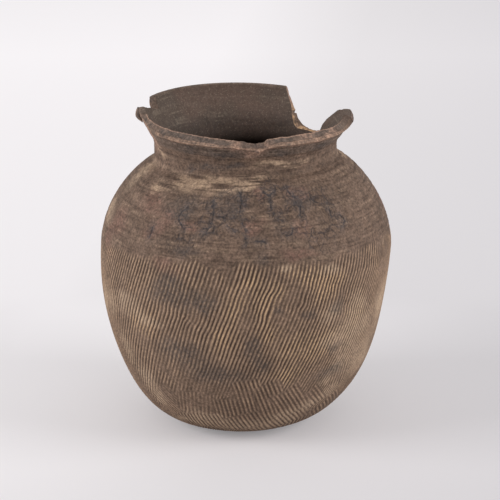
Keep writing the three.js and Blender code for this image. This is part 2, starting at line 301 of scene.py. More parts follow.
def profile(along, depth):
    """Radius and height of a wall point: the outline's point moved in along its own normal."""
    radius = np.interp(along, ALONG, RADIUS) - np.interp(along, ALONG, OUT_R) * depth
    height = np.interp(along, ALONG, HEIGHT) - np.interp(along, ALONG, OUT_Z) * depth
    return radius, height


# %% [markdown]
# ## Built by eye
# No hand-built jar is a true turned shape. This one leans a little to its right, its crease and
# its lip run slightly off level, and the outline wanders. The same movements were given to the
# solid model, so both stay together.

# %% Settle
CREASE_TILT, LIP_TILT, LIP_TIP = 0.0019, 0.0016, 0.0029  # rise or fall at the neck's radius
LEAN, LEAN_WAVE = 0.0048, 0.320
SWAY = 0.0011


def settle(x, y, z):
    """Moves a true turned point to where the potter left it: sideways by two sine waves of its
    height, and up or down by a tilt that grows up the shoulder and changes in the rim."""
    up_shoulder = np.clip((z - BELLY_HEIGHT) / (CREASE_HEIGHT - BELLY_HEIGHT), 0, 1)
    up_rim = np.clip((z - CREASE_HEIGHT) / (LIP_HEIGHT - CREASE_HEIGHT), 0, 1)
    crease_share = up_shoulder**2 * (1 - up_rim)
    right = (CREASE_TILT * crease_share - LIP_TILT * up_rim) / NECK_RADIUS
    back = LIP_TIP * up_rim / NECK_RADIUS
    low = np.minimum(z, BELLY_HEIGHT)
    lean = LEAN * np.sin(math.pi * z / LEAN_WAVE)
    sway = SWAY * np.sin(2 * math.pi * low / BELLY_HEIGHT)
    return np.stack([x + lean + sway, y, z + right * x + back * y], axis=-1)


def place(around, radius, height):
    """A point of the jar from its azimuth, radius and height: a circle, then settled."""
    return settle(radius * np.sin(around), -radius * np.cos(around), height)


print("lean at the belly", [round(v / MM, 1) for v in place(0.0, 0.0, 0.16)])

# %% [markdown]
# ## Grain
# Clay has hills and hollows at every size, from the squeeze of a palm to single grits. One
# function makes them all: random numbers at the corners of a grid of cubes, blended smoothly
# between. It reads true places in space, so it runs on across joints and round edges.

# %% Grain


def corner_number(cell, seed):
    """A repeatable random number from -1 to 1 for each whole-numbered corner, by stirring bits."""
    mixed = cell.astype(np.int64).astype(np.uint32)
    n = mixed[..., 0] * np.uint32(374761393) + mixed[..., 1] * np.uint32(668265263)
    n = n + mixed[..., 2] * np.uint32(2246822519) + np.uint32(seed * 3266489 + 977)
    n = (n ^ (n >> np.uint32(13))) * np.uint32(1274126177)
    n = (n ^ (n >> np.uint32(16))) * np.uint32(2654435761)
    return (n ^ (n >> np.uint32(15))).astype(np.float64) / 2147483648.0 - 1


def grain(points, size, seed=1):
    """Smooth random hills of about this size (a number, or one for each direction): the numbers
    at a cube's eight corners blended by 3t^2 - 2t^3."""
    cell = points / np.asarray(size, float)
    low = np.floor(cell)
    t = cell - low
    t = t * t * (3 - 2 * t)
    total = np.zeros(points.shape[:-1])
    for corner in range(8):
        step = np.array([corner & 1, corner >> 1 & 1, corner >> 2 & 1])
        share = np.prod(np.where(step, t, 1 - t), axis=-1)
        total += share * corner_number(low + step, seed)
    return total


def grains(points, size, layers=3, seed=1):
    """Hills on hills: each layer is half as wide and half as high as the one before."""
    size = np.asarray(size, float)
    return sum(grain(points, size / 2**k, seed + k) / 2**k for k in range(layers))


def rise(value, low, high):
    """0 below low, 1 above high, and smooth between."""
    t = np.clip((value - low) / (high - low), 0, 1)
    return t * t * (3 - 2 * t)


def hill(value, start, full, fading, end):
    """0 before the start, 1 from full to fading, and 0 after the end, smooth between."""
    return rise(value, start, full) * (1 - rise(value, fading, end))


probe = grain(np.random.default_rng(3).random((1000, 3)), 0.1)
print("grain runs from", round(probe.min(), 2), "to", round(probe.max(), 2))

# %% [markdown]
# ## Ribs from the paddle
# The potter held a stone inside and beat the outside with a paddle that had grooves cut in its
# face, about 3 mm apart. Blow was set beside blow with care, so over most of the bowl the ribs run
# on in long lines that lean to the right and only jog here and there. Low on the bowl, where the
# hand had to turn, blows cross at other leans. So the ribs are one wave that runs round the whole
# jar. Light blows shift and tilt that wave a little, and crossing blows are painted over it.

# %% The long ribs
RIB_PITCH = 0.0031
HIGH_LEAN, LOW_LEAN, LEFT_LEAN = 15, 24, 6  # degrees to the right; the last is added at the left
RIB_COUNT = round(2 * math.pi * BELLY_RADIUS * math.cos(math.radians(HIGH_LEAN)) / RIB_PITCH)
lean_up = np.radians(HIGH_LEAN + (LOW_LEAN - HIGH_LEAN) * np.clip((0.120 - HEIGHT) / 0.05, 0, 1))
# how far grain moves the ribs, how wide its hills are, and its seed
WANDER = ((0.0011, 0.05, 24), (0.0003, 0.016, 21), (0.00018, 0.005, 22))
DRIFT = np.cumsum(np.sin(lean_up)) * (ALONG[1] - ALONG[0]) / RIB_PITCH


def wrapped(around, degrees):
    """How far round an azimuth lies from another, in radians, from minus half a turn to half."""
    return (around - math.radians(degrees) + math.pi) % (2 * math.pi) - math.pi


def strayed(points, layers):
    """How far grain moves a line: the sum of its layers."""
    return sum(reach * grain(points, size, seed) for reach, size, seed in layers)


def long_ribs(around, along, points):
    """Ribs passed on the way to a point: as many as go round, less the height times the sine of
    the lean, counted in pitches. Grain makes the lines wander."""
    turn = np.degrees(wrapped(around, 0))
    left = rise(-turn, 15, 60) * rise(turn, -130, -90)
    drift = np.interp(along, ALONG, DRIFT)
    drift = drift + left * math.sin(math.radians(LEFT_LEAN)) * (along - BELLY) / RIB_PITCH
    return RIB_COUNT * around / (2 * math.pi) - drift + strayed(points, WANDER) / RIB_PITCH


print(RIB_COUNT, "ribs go round the belly")

# %% Blows
# azimuth in degrees, height in mm, lean in degrees, half width and half length in mm, and the
# share of a pitch by which it moves the ribs
Blow = namedtuple("Blow", "azimuth height lean half_width half_length shift", defaults=[0.0])
CROSSING_BLOWS = [
    (-40, 33, -40, 17, 15), (-24, 36, 8, 17, 14), (-7, 32, -8, 15, 15), (34, 36, -42, 14, 13),
    (47, 54, 0, 11, 13), (6, 22, -26, 20, 13), (26, 20, -38, 18, 13), (-22, 18, -10, 20, 12),
    (3, 47, -15, 13, 19), (13, 43, -22, 13, 19), (23, 38, -32, 14, 17), (50, 24, -46, 16, 12),
]
JOGS = [(8, 121, 0, 9, 13, 0.4), (24, 126, 0, 8, 12, -0.4), (-20, 88, 2, 16, 20, 0.25)]
LIGHT_HEIGHTS = (52, 76, 100, 124, 144)
LOW_RINGS = ((14, -24), (26, -30), (38, -20))  # height and lean
LIGHT_SPACING, LOW_SPACING = 0.042, 0.03  # between the middles of a ring's blows
# within this azimuth of the front, random crossing blows fall only below this height
FRONT_SIDE, LOWEST = 62, 20


def round_the_jar(chance, height, spacing, jitter):
    """Azimuths in degrees of blows at a height, about evenly spaced, one after the other."""
    girth = float(np.interp(height * MM, raw_height, raw_radius))
    count = round(2 * math.pi * girth / spacing)
    for k in range(count):
        yield 360 * (k + chance.uniform(-jitter, jitter)) / count - 180


def light_blows():
    """Blows all over the bowl that tilt the long ribs by a few degrees and shift them by up to a
    seventh of their pitch, struck in a random order, and last the few that make them jog."""
    chance = np.random.default_rng(11)
    blows = []
    for height in LIGHT_HEIGHTS:
        for azimuth in round_the_jar(chance, height, LIGHT_SPACING, 0.3):
            tilt, shift = chance.normal(0, 1.7), chance.uniform(-0.14, 0.14)
            size = chance.uniform(17, 24), chance.uniform(20, 30)
            blows.append((azimuth, height + chance.normal(0, 5), tilt, *size, shift))
    struck = [blows[k] for k in chance.permutation(len(blows))]
    return [Blow(*blow) for blow in struck + JOGS]


def low_blows():
    """Crossing blows low on the bowl, round the sides and back, and then those on the front."""
    chance = np.random.default_rng(12)
    blows = []
    for height, lean in LOW_RINGS:
        for azimuth in round_the_jar(chance, height, LOW_SPACING, 0.2):
            turn = lean + chance.normal(0, 6)
            size = chance.uniform(15, 20), chance.uniform(12, 16)
            if abs(azimuth) > FRONT_SIDE or height < LOWEST:
                blows.append((azimuth, height + chance.normal(0, 2), turn, *size))
    return [Blow(*blow) for blow in blows + CROSSING_BLOWS]


def blow_frame(around, along, radius, blow):
    """Distances across and along the ribs from a blow's middle, in metres on the wall."""
    lean = math.radians(blow.lean)
    right, up = wrapped(around, blow.azimuth) * radius, along - along_at(blow.height * MM)
    across = right * math.cos(lean) - up * math.sin(lean)
    length = right * math.sin(lean) + up * math.cos(lean)
    return across, length


def near_blow(around, along, radius, blow):
    """The points that a blow may touch."""
    reach = (blow.half_width + blow.half_length + 4) * MM
    near_height = abs(along - along_at(blow.height * MM)) < reach
    return near_height & (abs(wrapped(around, blow.azimuth)) * radius < reach)


def cover_of(blow, across, length, ragged, edge):
    """How firmly a blow covers a point: 1 inside its box, falling to 0 over its edge's width."""
    spare = np.minimum(blow.half_width * MM - abs(across), blow.half_length * MM - abs(length))
    return rise(spare + ragged, 0, edge)


LIGHT_BLOWS, LOW_BLOWS = light_blows(), low_blows()
print(len(LIGHT_BLOWS), "light blows and", len(LOW_BLOWS), "crossing ones")

# %% Paint the ribs
BLOW_LEAN = 18  # the light blows' boxes lean as the ribs do, in degrees
LIGHT_EDGE = 0.008  # over these widths a blow fades in
CROSSING_EDGE = 0.004
RAGGED, RAGGED_HILLS = 0.0022, 0.009  # how far grain pulls a blow's edge about
WOBBLE = ((0.0003, 0.016, 21), (0.0002, 0.005, 22))  # and how it moves the ribs of a crossing blow


def wave(passed):
    """A rounded wave from 0 to 1, its crests at whole numbers of ribs passed."""
    return 0.5 + 0.5 * np.cos(2 * math.pi * passed)


def ribs(around, along, radius, points):
    """Rib height from 0 in a groove to 1 on a crest: a rounded wave of the ribs passed. Light
    blows move its phase, and crossing blows put a straight wave of their own over it."""
    phase = long_ribs(around, along, points)
    ragged = RAGGED * grain(points, RAGGED_HILLS, 23)
    moved = np.zeros(around.shape)
    for blow in LIGHT_BLOWS:
        near = near_blow(around, along, radius, blow)
        spots = around[near], along[near], radius[near]
        across, length = blow_frame(*spots, blow._replace(lean=BLOW_LEAN))
        cover = cover_of(blow, across, length, ragged[near], LIGHT_EDGE)
        own = blow.shift + length * math.sin(math.radians(blow.lean)) / RIB_PITCH
        moved[near] += cover * (own - moved[near])
    height = wave(phase + moved)
    wobble = strayed(points, WOBBLE)
    for blow in LOW_BLOWS:
        near = near_blow(around, along, radius, blow)
        across, length = blow_frame(around[near], along[near], radius[near], blow)
        cover = cover_of(blow, across, length, ragged[near], CROSSING_EDGE)
        height[near] += cover * (wave((across + wobble[near]) / RIB_PITCH) - height[near])
    return height


# %% [markdown]
# ## Marks on the outer face
# Above the ribs the potter wiped the wall with a wet hand, which left fine level lines and closed
# the tops of the ribs. On the shoulder the wiped skin dried faster than the wall and cracked into
# small cells. Soot and long use darkened parts of the wall, and handling rubbed others pale. A few
# dark patches just under the lip strip are painted shade, a few pale ones low on the bowl and at
# its sides are painted light, and a pale band round the crease is a painted highlight.

# %% Patches by place
# azimuth in degrees, height in mm, half width and half height in mm
# some of these, low on the bowl and at its sides, are painted light; the others are clay rubbed pale
PALE_AND_PAINTED_LIGHT_PATCHES = [
    (-52, 111, 14, 9), (-42, 102, 12, 6), (-64, 104, 10, 10), (52, 112, 10, 10), (56, 92, 13, 13),
    (46, 86, 11, 12), (46, 68, 12, 9), (40, 54, 9, 6), (47, 40, 12, 9), (36, 29, 12, 6),
    (28, 19, 14, 5), (-31, 16, 14, 5), (-50, 50, 11, 12), (-60, 70, 9, 12), (-46, 35, 8, 7),
    (33, 144, 10, 5), (14, 147, 9, 4), (-76, 198, 10, 11), (48, 100, 12, 16), (72, 100, 14, 20),
    (66, 62, 12, 16), (-74, 100, 12, 14), (38, 88, 10, 10), (-80, 165, 12, 12),
    (22, 24, 12, 5), (0, 14, 40, 7), (-22, 24, 18, 7),
    (58, 62, 14, 16), (34, 110, 9, 8), (150, 100, 24, 16), (-130, 80, 20, 18),
    (110, 60, 18, 14), (-95, 110, 12, 12), (180, 150, 22, 10),
]
BRIGHT_PATCHES = [
    (9, 120, 8, 12), (17, 146, 8, 5), (37, 88, 10, 10), (30, 80, 10, 8), (36, 140, 10, 7),
    (1, 138, 9, 12), (-3, 118, 10, 14), (-9, 96, 11, 12), (24, 142, 10, 9), (31, 130, 11, 12),
    (11, 131, 8, 8), (22, 84, 14, 12), (10, 100, 9, 9), (21, 64, 13, 7), (-45, 100, 14, 10),
    (48, 100, 10, 16), (150, 110, 30, 20), (-140, 90, 26, 18), (-100, 70, 16, 16),
    (100, 90, 20, 20),
]
# the ones just under the lip strip, at 224 to 226 mm, are painted shade; the others are soot
SOOT_AND_PAINTED_SHADE_PATCHES = [
    (-29, 134, 11, 8), (-18, 128, 9, 8), (-13, 123, 10, 8), (4, 90, 6, 9), (40, 113, 8, 6),
    (38, 80, 8, 5), (6, 156, 10, 6), (-30, 122, 20, 8), (-26, 82, 22, 12), (-12, 66, 22, 10),
    (40, 58, 14, 7), (6, 76, 9, 8), (-24, 160, 14, 6), (26, 110, 7, 5), (14, 116, 5, 5),
    (-38, 210, 9, 4), (-22, 212, 11, 4), (-7, 213, 9, 3), (-17, 172, 9, 4), (-15, 192, 6, 4),
    (-34, 224, 12, 5), (-11, 224, 14, 6), (20, 226, 8, 4), (52, 224, 14, 5), (-19, 124, 9, 6),
    (-30, 186, 16, 8), (-4, 190, 14, 8), (26, 190, 14, 8), (120, 120, 26, 18), (-110, 140, 22, 12),
    (170, 60, 30, 20), (-150, 130, 18, 16),
]
RED_PATCHES = [
    (-49, 186, 12, 9), (-40, 170, 11, 8), (-36, 180, 9, 7), (-23, 176, 9, 6), (4, 177, 9, 6),
    (25, 173, 9, 6), (8, 196, 7, 4), (-64, 166, 14, 10), (20, 158, 18, 4), (-30, 146, 14, 6),
    (-70, 150, 10, 14), (95, 170, 20, 10), (-120, 175, 18, 8), (30, 196, 10, 5),
]
# a painted highlight: a pale band round the crease, where the top of the shoulder faces up
CREASE_HIGHLIGHT_PATCHES = [
    (-52, 198, 9, 5), (-38, 201, 12, 5), (-22, 202.5, 14, 5), (-7, 204, 11, 4), (9, 206, 9, 2),
    (24, 215, 24, 2.5), (-62, 216, 8, 3), (1, 204, 12, 4), (100, 203, 20, 4), (160, 204, 26, 4),
    (-120, 204, 24, 4),
]
SMOOTH_PATCHES = [
    (-26, 57, 11, 7), (-14, 51, 13, 7), (-36, 64, 6, 5), (-5, 48, 7, 4), (-22, 38, 18, 8),
    (-40, 40, 12, 8), (140, 60, 14, 8),
]
CRACK_PATCHES = [
    (-8, 188, 28, 17), (16, 188, 18, 16), (36, 182, 16, 14), (-24, 170, 14, 12), (30, 166, 16, 10),
    (90, 180, 20, 12), (170, 182, 34, 14), (-140, 178, 20, 12),
]
SPALLED_PATCHES = [(-74, 229, 13, 8)]
BARE_PATCHES = [(3, 228.5, 7, 4), (-7, 231, 4, 3), (150, 232, 8, 3)]
BLOT_PUSH, PUSH_HILLS = 0.006, 0.022  # how far grain pulls a blot sideways, and its hills' width
BLOT_LIFT, LIFT_HILLS = 0.004, 0.018  # and the same upwards
# each kind's patches, and the seed of the grain that pulls them about
PATCHES = {
    "pale_and_painted_light": (PALE_AND_PAINTED_LIGHT_PATCHES, 61),
    "bright": (BRIGHT_PATCHES, 62),
    "soot_and_painted_shade": (SOOT_AND_PAINTED_SHADE_PATCHES, 63),
    "red": (RED_PATCHES, 65),
    "crease_highlight": (CREASE_HIGHLIGHT_PATCHES, 67),
    "bare": (BARE_PATCHES, 66),
    "smooth": (SMOOTH_PATCHES, 69),
    "cracked": (CRACK_PATCHES, 43),
    "spalled": (SPALLED_PATCHES, 55),
}
# the widest cracks, each a run of azimuths in degrees and heights in mm
WIDE_CRACKS = [
    [(14.4, 200.3), (12.2, 195.4), (12.4, 185.3), (13.6, 181.6), (16, 179.4)],
    [(8.6, 197.8), (11.8, 195.4)],
    [(-3.7, 197.4), (-1.5, 191.8), (-2.3, 182.2), (-1, 177.2), (-0.2, 170.3), (-0.6, 164.4)],
    [(-14.7, 190.5), (-14.9, 185.1), (-15.4, 178.3)],
    [(-12.4, 183.5), (-7.5, 182), (-2.7, 182.2)],
    [(-27.2, 189), (-29.4, 183.6), (-29.4, 177.3), (-26.3, 172.7)],
    [(22, 196.8), (25, 192.9), (25.5, 187.4), (24.5, 181.4)],
    [(14.8, 172), (17.7, 171.6), (20.3, 175.1)],
    [(40, 187), (40, 182.5), (39.4, 179.4)],
    [(44.3, 178), (45.2, 173.7), (42.9, 170.4)],
    [(3.7, 168.3), (7.3, 166.1)],
    [(-18, 174.1), (-14.7, 175.8)],
    [(-41.4, 172.9), (-41.4, 163.3)],
    [(-8.1, 177.6), (-4.7, 174.6)],
    [(150, 190), (155, 182), (152, 174)],
    [(-130, 186), (-127, 178), (-131, 172)],
]


def patches(around, points, radius, height, spots, seed):
    """Soft blots: each falls off as a bell from its middle, the whole is pulled about by grain,
    and blots that meet join into one."""
    push = BLOT_PUSH * grains(points, PUSH_HILLS, 3, seed)
    lift = BLOT_LIFT * grains(points, LIFT_HILLS, 3, seed + 7)
    clear = np.ones(around.shape)
    for azimuth, middle, half_width, half_height in spots:
        right = (wrapped(around, azimuth) * radius + push) / (half_width * MM)
        up = (height - middle * MM + lift) / (half_height * MM)
        clear *= 1 - np.exp(-(right**2) - up**2)
    return 1 - clear


print({kind: len(places) for kind, (places, seed) in PATCHES.items()}, "patches")

# %% Cracked skin
CRACK_WIDTH = 0.0014
CRACKED_RADIUS = 0.095  # the wall is unrolled at this radius to lay out the cells
CELL_BEND = 0.35  # grain bends the cells by this share of their width
SEAT_REACH = 0.45  # a cell's middle strays by this share of the width
WIDE_PUSH, WIDE_LIFT = 0.0016, 0.0012  # grain moves the wide cracks sideways and up this far
FAR_FROM_CRACKS = 0.05


def cracks(around, points, radius, along, cell, seed):
    """How close a point is to the border between two cells of cracked skin, 1 on the border. Each
    cell is the ground nearest to one of a set of scattered points, on an unrolled strip of wall."""
    columns = int(round(2 * math.pi * CRACKED_RADIUS / cell))
    bent_u = around * columns / (2 * math.pi) + CELL_BEND * grain(points, cell * 0.6, seed)
    bent_v = along / cell + CELL_BEND * grain(points, cell * 0.6, seed + 3)
    column, row = np.floor(bent_u), np.floor(bent_v)
    nearest = np.full(around.shape, 9.0)
    second = np.full(around.shape, 9.0)
    for du in (-1, 0, 1):
        for dv in (-1, 0, 1):
            home = np.stack([(column + du) % columns, row + dv, np.zeros_like(row)], axis=-1)
            seat_u = column + du + 0.5 + SEAT_REACH * corner_number(home, seed + 11)
            seat_v = row + dv + 0.5 + SEAT_REACH * corner_number(home, seed + 12)
            gap = np.hypot(bent_u - seat_u, bent_v - seat_v)
            second = np.minimum(second, np.maximum(nearest, gap))
            nearest = np.minimum(nearest, gap)
    return 1 - rise((second - nearest) * cell, 0, CRACK_WIDTH)


def from_wide_cracks(around, points, radius, height):
    """Distance in metres from the nearest of the wide cracks: to each straight stretch of each, on
    the unrolled wall, with the ground pulled about by grain."""
    nearest = np.full(around.shape, FAR_FROM_CRACKS)
    push = WIDE_PUSH * grains(points, 0.007, 3, 47)
    lift = WIDE_LIFT * grains(points, 0.006, 3, 49)
    for run in WIDE_CRACKS:
        for (azimuth, low), (next_azimuth, high) in zip(run, run[1:]):
            right = wrapped(around, azimuth) * radius + push
            up = height - low * MM + lift
            run_right = math.radians(next_azimuth - azimuth) * radius
            run_up = (high - low) * MM
            share = (right * run_right + up * run_up) / (run_right**2 + run_up**2)
            share = np.clip(share, 0, 1)
            gap = np.hypot(right - share * run_right, up - share * run_up)
            nearest = np.minimum(nearest, gap)
    return nearest


print(len(WIDE_CRACKS), "wide cracks in", sum(len(run) - 1 for run in WIDE_CRACKS), "stretches")

# %% [markdown]
# ## The outer face, all marks together
# The marks are all depths below one skin, so nothing stands out past the solid model. The same
# numbers are kept with each point as named values, and the clay's colours are mixed from them.

# %% Outer face
SKIN = 0.0004  # the skin lies this far inside the solid's face, so that crests stay within it
LEAST_DEPTH = 0.0002
RIB_DEPTH = 0.0007
RIB_MIDDLE = 0.58  # rib height level with the skin: grooves go deeper than crests stand out
PALM, PITS, LUMPS, WIPING = 0.0003, 0.00016, 0.00022, 0.00012  # how far each moves the skin
CRACK_DEPTH = 0.00045
SPALL_DEPTH, SPALL_ROUGHNESS = 0.0022, 0.0005
BIG_CELL, SMALL_CELL = 0.0115, 0.0062
# sizes of the hills of grain behind the marks; three numbers where they are longer one way
END_HILLS, WORN_HILLS = (0.012, 0.012, 0.03), (0.012, 0.012, 0.022)
WIPING_HILLS, LUMP_HILLS = (0.018, 0.018, 0.0011), (0.009, 0.009, 0.006)
PALM_HILLS, PIT_HILLS, SPALL_HILLS = 0.034, 0.0022, 0.004
TORN_HILLS, GAPE_HILLS = 0.006, 0.005
ENDS_STRAY = 0.003  # the ribs end higher and lower by this much
STAIN_WIDTH = 0.0032
# the height in mm at which the ribs end, at these azimuths
RIBS_END = np.array([146, 149, 150.5, 151.5, 151.5, 150.6, 153.5, 151, 149, 151.5, 151.5])
RIBS_END_AT = np.radians([-61, -47, -37, -27, -17, -7, 6, 17, 26, 40, 60])


def wall_points(around, along, depth):
    """Radius, height and place of points on the true turned wall, before it settles."""
    radius, height = np.broadcast_arrays(*profile(along, depth))
    points = np.stack([radius * np.sin(around), -radius * np.cos(around), height], axis=-1)
    return radius, height, points


def crack_depth(around, along, points, radius, cracked, beside):
    """Cracks of the wiped skin, 1 at their deepest: borders of big and small cells where the skin
    is torn, and the wide cracks, which gape more and less."""
    torn = rise(grains(points, TORN_HILLS, 2, 45), -0.4, 0.5) * rise(cracked, 0.2, 0.6)
    crack = 0.95 * torn * cracks(around, points, radius, along, BIG_CELL, 41)
    crack = np.maximum(crack, 0.75 * torn * cracks(around, points, radius, along, SMALL_CELL, 51))
    gape = 0.45 + 0.55 * rise(grains(points, GAPE_HILLS, 2, 48), -0.5, 0.3)
    return np.maximum(crack, gape * (1 - rise(beside, 0.0001, 0.0009)))


def outer_marks(around, along):
    """Depth of the outer face below the solid's, and its named values."""
    radius, height, points = wall_points(around, along, 0.0)
    spots = {
        name: patches(around, points, radius, height, places, seed)
        for name, (places, seed) in PATCHES.items()
    }
    top = np.interp(wrapped(around, 0), RIBS_END_AT, RIBS_END) * MM
    top = top + ENDS_STRAY * grains(points, END_HILLS, 3, 31)
    ribbed = rise(top - height, -0.002, 0.004)
    rib = ribs(around, along, radius, points)
    worn = rise(grains(points, WORN_HILLS, 3, 33), -0.1, 0.8)
    low = 1 - rise(height, 0.045, 0.066)
    strength = ribbed * (1 - 0.5 * worn) * (1 - 0.75 * spots["smooth"])
    strength = strength * (1 - 0.3 * spots["soot_and_painted_shade"]) * (1 - 0.32 * low)
    wiped = 1 - ribbed
    level_lines = grains(points, WIPING_HILLS, 2, 35)
    beside = from_wide_cracks(around, points, radius, height)
    crack = crack_depth(around, along, points, radius, spots["cracked"], beside)
    crack = crack * hill(height, 0.150, 0.160, 0.205, 0.208)
    palm = PALM * grains(points, PALM_HILLS, 2, 37) * rise(height, 0.004, 0.02)
    pits = PITS * grains(points, PIT_HILLS, 2, 39) * (1 + 0.8 * wiped)
    lumps = LUMPS * grains(points, LUMP_HILLS, 2, 57) * wiped
    spall = SPALL_DEPTH + SPALL_ROUGHNESS * grains(points, SPALL_HILLS, 2, 59)
    depth = SKIN + palm + pits + lumps * (1 - rise(height, 0.205, 0.215))
    depth = depth + strength * RIB_DEPTH * (RIB_MIDDLE - rib)
    depth = depth + wiped * WIPING * level_lines * rise(height, 0.14, 0.15)
    depth = depth + CRACK_DEPTH * crack + spots["spalled"] * spall
    values = {name: spots[name] for name in ("pale_and_painted_light", "bright", "soot_and_painted_shade", "red", "crease_highlight")}
    values["rib"] = 0.5 + strength * (rib - 0.5)
    values["ribbed"] = strength
    values["wiped"] = 0.5 + 0.5 * wiped * level_lines
    values["crack"] = crack
    values["stain"] = np.exp(-((beside / STAIN_WIDTH) ** 2)) * rise(height, 0.150, 0.160)
    values["bare"] = np.maximum(spots["spalled"], spots["bare"])
    return np.maximum(depth, LEAST_DEPTH), values


tried_around, tried_along = np.meshgrid(np.linspace(0, 2 * math.pi, 60), np.linspace(0, LIP, 40))
tried = outer_marks(tried_around, tried_along)[0]
print("outer face lies", (tried.min() / MM).round(2), "to", (tried.max() / MM).round(2), "mm deep")

# %% [markdown]
# ## Inside
# Nobody smooths the inside of a narrow-mouthed jar with care. The stone that was held against the
# paddle left shallow dishes, and the fingers left level lines near the neck.

# %% Inner face
DISHES, INNER_PITS, INNER_WIPING = 0.0004, 0.00012, 0.0001
DISH_HILLS, INNER_WIPING_HILLS = 0.03, (0.02, 0.02, 0.0014)


def inner_marks(around, along):
    """Depth of the inner face from the outer, and its named values."""
    _, height, points = wall_points(around, along, thickness(along))
    dishes = DISHES * grains(points, DISH_HILLS, 2, 71)
    level_lines = grains(points, INNER_WIPING_HILLS, 2, 73)
    pits = INNER_PITS * grains(points, PIT_HILLS, 2, 75)
    lines = INNER_WIPING * level_lines * rise(height, 0.15, 0.2)
    depth = thickness(along) + dishes + pits - lines
    values = {
        "inside": np.ones(depth.shape),
        "wiped": 0.5 + 0.5 * level_lines,
        # painted shade: the inner face darkens further down inside the jar
        "soot_and_painted_shade": 0.65 * (1 - rise(height, 0.212, 0.238)),
    }
    return depth, values


tried = inner_marks(tried_around, tried_along)[0]
print("inner face lies", (tried.min() / MM).round(2), "to", (tried.max() / MM).round(2), "mm deep")

# %% [markdown]
# ## Making a shell
# A piece is a closed cross-section carried round the jar: up the outer face, across the slanting
# joint at the top, down the inner face and back across the joint at the bottom. The grid of
# points closes on itself both ways, like the skin of a ring.

# %% Shell helpers
VALUE_NAMES = (
    "rib", "ribbed", "wiped", "crack", "stain", "pale_and_painted_light", "bright", "soot_and_painted_shade", "red", "crease_highlight", "inside",
    "bare", "fresh", "rind",
)
BASE_VALUES = {"rib": 0.5, "wiped": 0.5}


def grid_faces(columns, rows, ring, loop):
    """Four-cornered faces between neighbouring grid points, wrapped round where the grid closes."""
    c = np.arange(columns if ring else columns - 1)[:, None]
    r = np.arange(rows if loop else rows - 1)[None, :]
    c2, r2 = (c + 1) % columns, (r + 1) % rows
    quads = [c * rows + r, c2 * rows + r, c2 * rows + r2, c * rows + r2]
    return np.stack([np.broadcast_to(q, (c.shape[0], r.shape[1])) for q in quads], axis=-1)


def build_piece(name, points, values, faces, material, sharp=()):
    """Puts points, faces, named values and a finish into a mesh, and links it into the scene. Edges
    with both ends in one of the sharp sets of points are kept crisp."""
    mesh = bpy.data.meshes.new(name)
    flat = np.concatenate([np.asarray(f, np.int32).ravel() for f in faces])
    sizes = np.concatenate([np.full(len(f), f.shape[1], np.int32) for f in faces])
    starts = np.concatenate([[0], np.cumsum(sizes)[:-1]]).astype(np.int32)
    mesh.vertices.add(len(points))
    mesh.vertices.foreach_set("co", points.astype(np.float32).ravel())
    mesh.loops.add(len(flat))
    mesh.loops.foreach_set("vertex_index", flat)
    mesh.polygons.add(len(sizes))
    mesh.polygons.foreach_set("loop_start", starts)
    mesh.update(calc_edges=True)
    mesh.polygons.foreach_set("use_smooth", np.ones(len(sizes), bool))
    for key in VALUE_NAMES:
        kept = mesh.attributes.new(key, "FLOAT", "POINT")
        kept.data.foreach_set("value", values[key].astype(np.float32).ravel())
    if len(sharp):
        ends = np.zeros(len(mesh.edges) * 2, np.int32)
        mesh.edges.foreach_get("vertices", ends)
        ends = ends.reshape(-1, 2)
        crisp = np.zeros(len(ends), bool)
        for group in sharp:
            member = np.zeros(len(points), bool)
            member[group] = True
            crisp |= member[ends[:, 0]] & member[ends[:, 1]]
        edge = mesh.attributes.new("sharp_edge", "BOOLEAN", "EDGE")
        edge.data.foreach_set("value", crisp)
    mesh.materials.append(material)
    mesh.validate()
    piece = bpy.data.objects.new(name, mesh)
    bpy.context.scene.collection.objects.link(piece)
    print(name, len(points), "points,", int((sizes - 2).sum()), "triangles")
    return piece


def fill_values(parts, columns):
    """Joins the named values of a cross-section's stretches; what a stretch lacks gets its base."""
    joined = {}
    for key in VALUE_NAMES:
        rows = []
        for count, values in parts:
            given = values.get(key, BASE_VALUES.get(key, 0.0))
            rows.append(np.broadcast_to(given, (columns, count)))
        joined[key] = np.concatenate(rows, axis=1)
    return joined


# %% [markdown]
# ## Clay
# All the clay is one brown body. What changes from place to place is partly what happened to the
# surface and partly painted light and shade: the crests of the ribs were rubbed pale and the grooves
# are darkened by dirt and by painted shade, soot and painted shade sit in soft patches, some pale
# patches are painted light, a painted highlight runs round the crease, and broken faces show the
# red-tan core. Each is a colour mixed in by its own named value, with grain to break up its edge.

# %% Colours
BODY = (0.185, 0.122, 0.087)
WIPED_BODY = (0.150, 0.098, 0.071)
NECK_BODY = (0.150, 0.106, 0.082)
STRIP_BODY = (0.27, 0.175, 0.125)
GROOVE = (0.062, 0.038, 0.027)
CREST = (0.41, 0.275, 0.183)
BRIGHT_CREST = (0.62, 0.41, 0.235)
PALE_AND_PAINTED_LIGHT = (0.50, 0.36, 0.25)
SOOT_AND_PAINTED_SHADE = (0.062, 0.055, 0.054)
RED = (0.205, 0.112, 0.085)
TAN_AND_PAINTED_HIGHLIGHT = (0.41, 0.285, 0.195)
CRACKED = (0.028, 0.028, 0.034)
STAIN = (0.066, 0.062, 0.066)
INSIDE = (0.092, 0.066, 0.052)
INSIDE_RED = (0.125, 0.080, 0.062)
SPECK = (0.36, 0.29, 0.22)
BARE = (0.42, 0.26, 0.19)
FRESH = (0.48, 0.30, 0.16)
RIND = (0.115, 0.060, 0.042)

# %% Clay


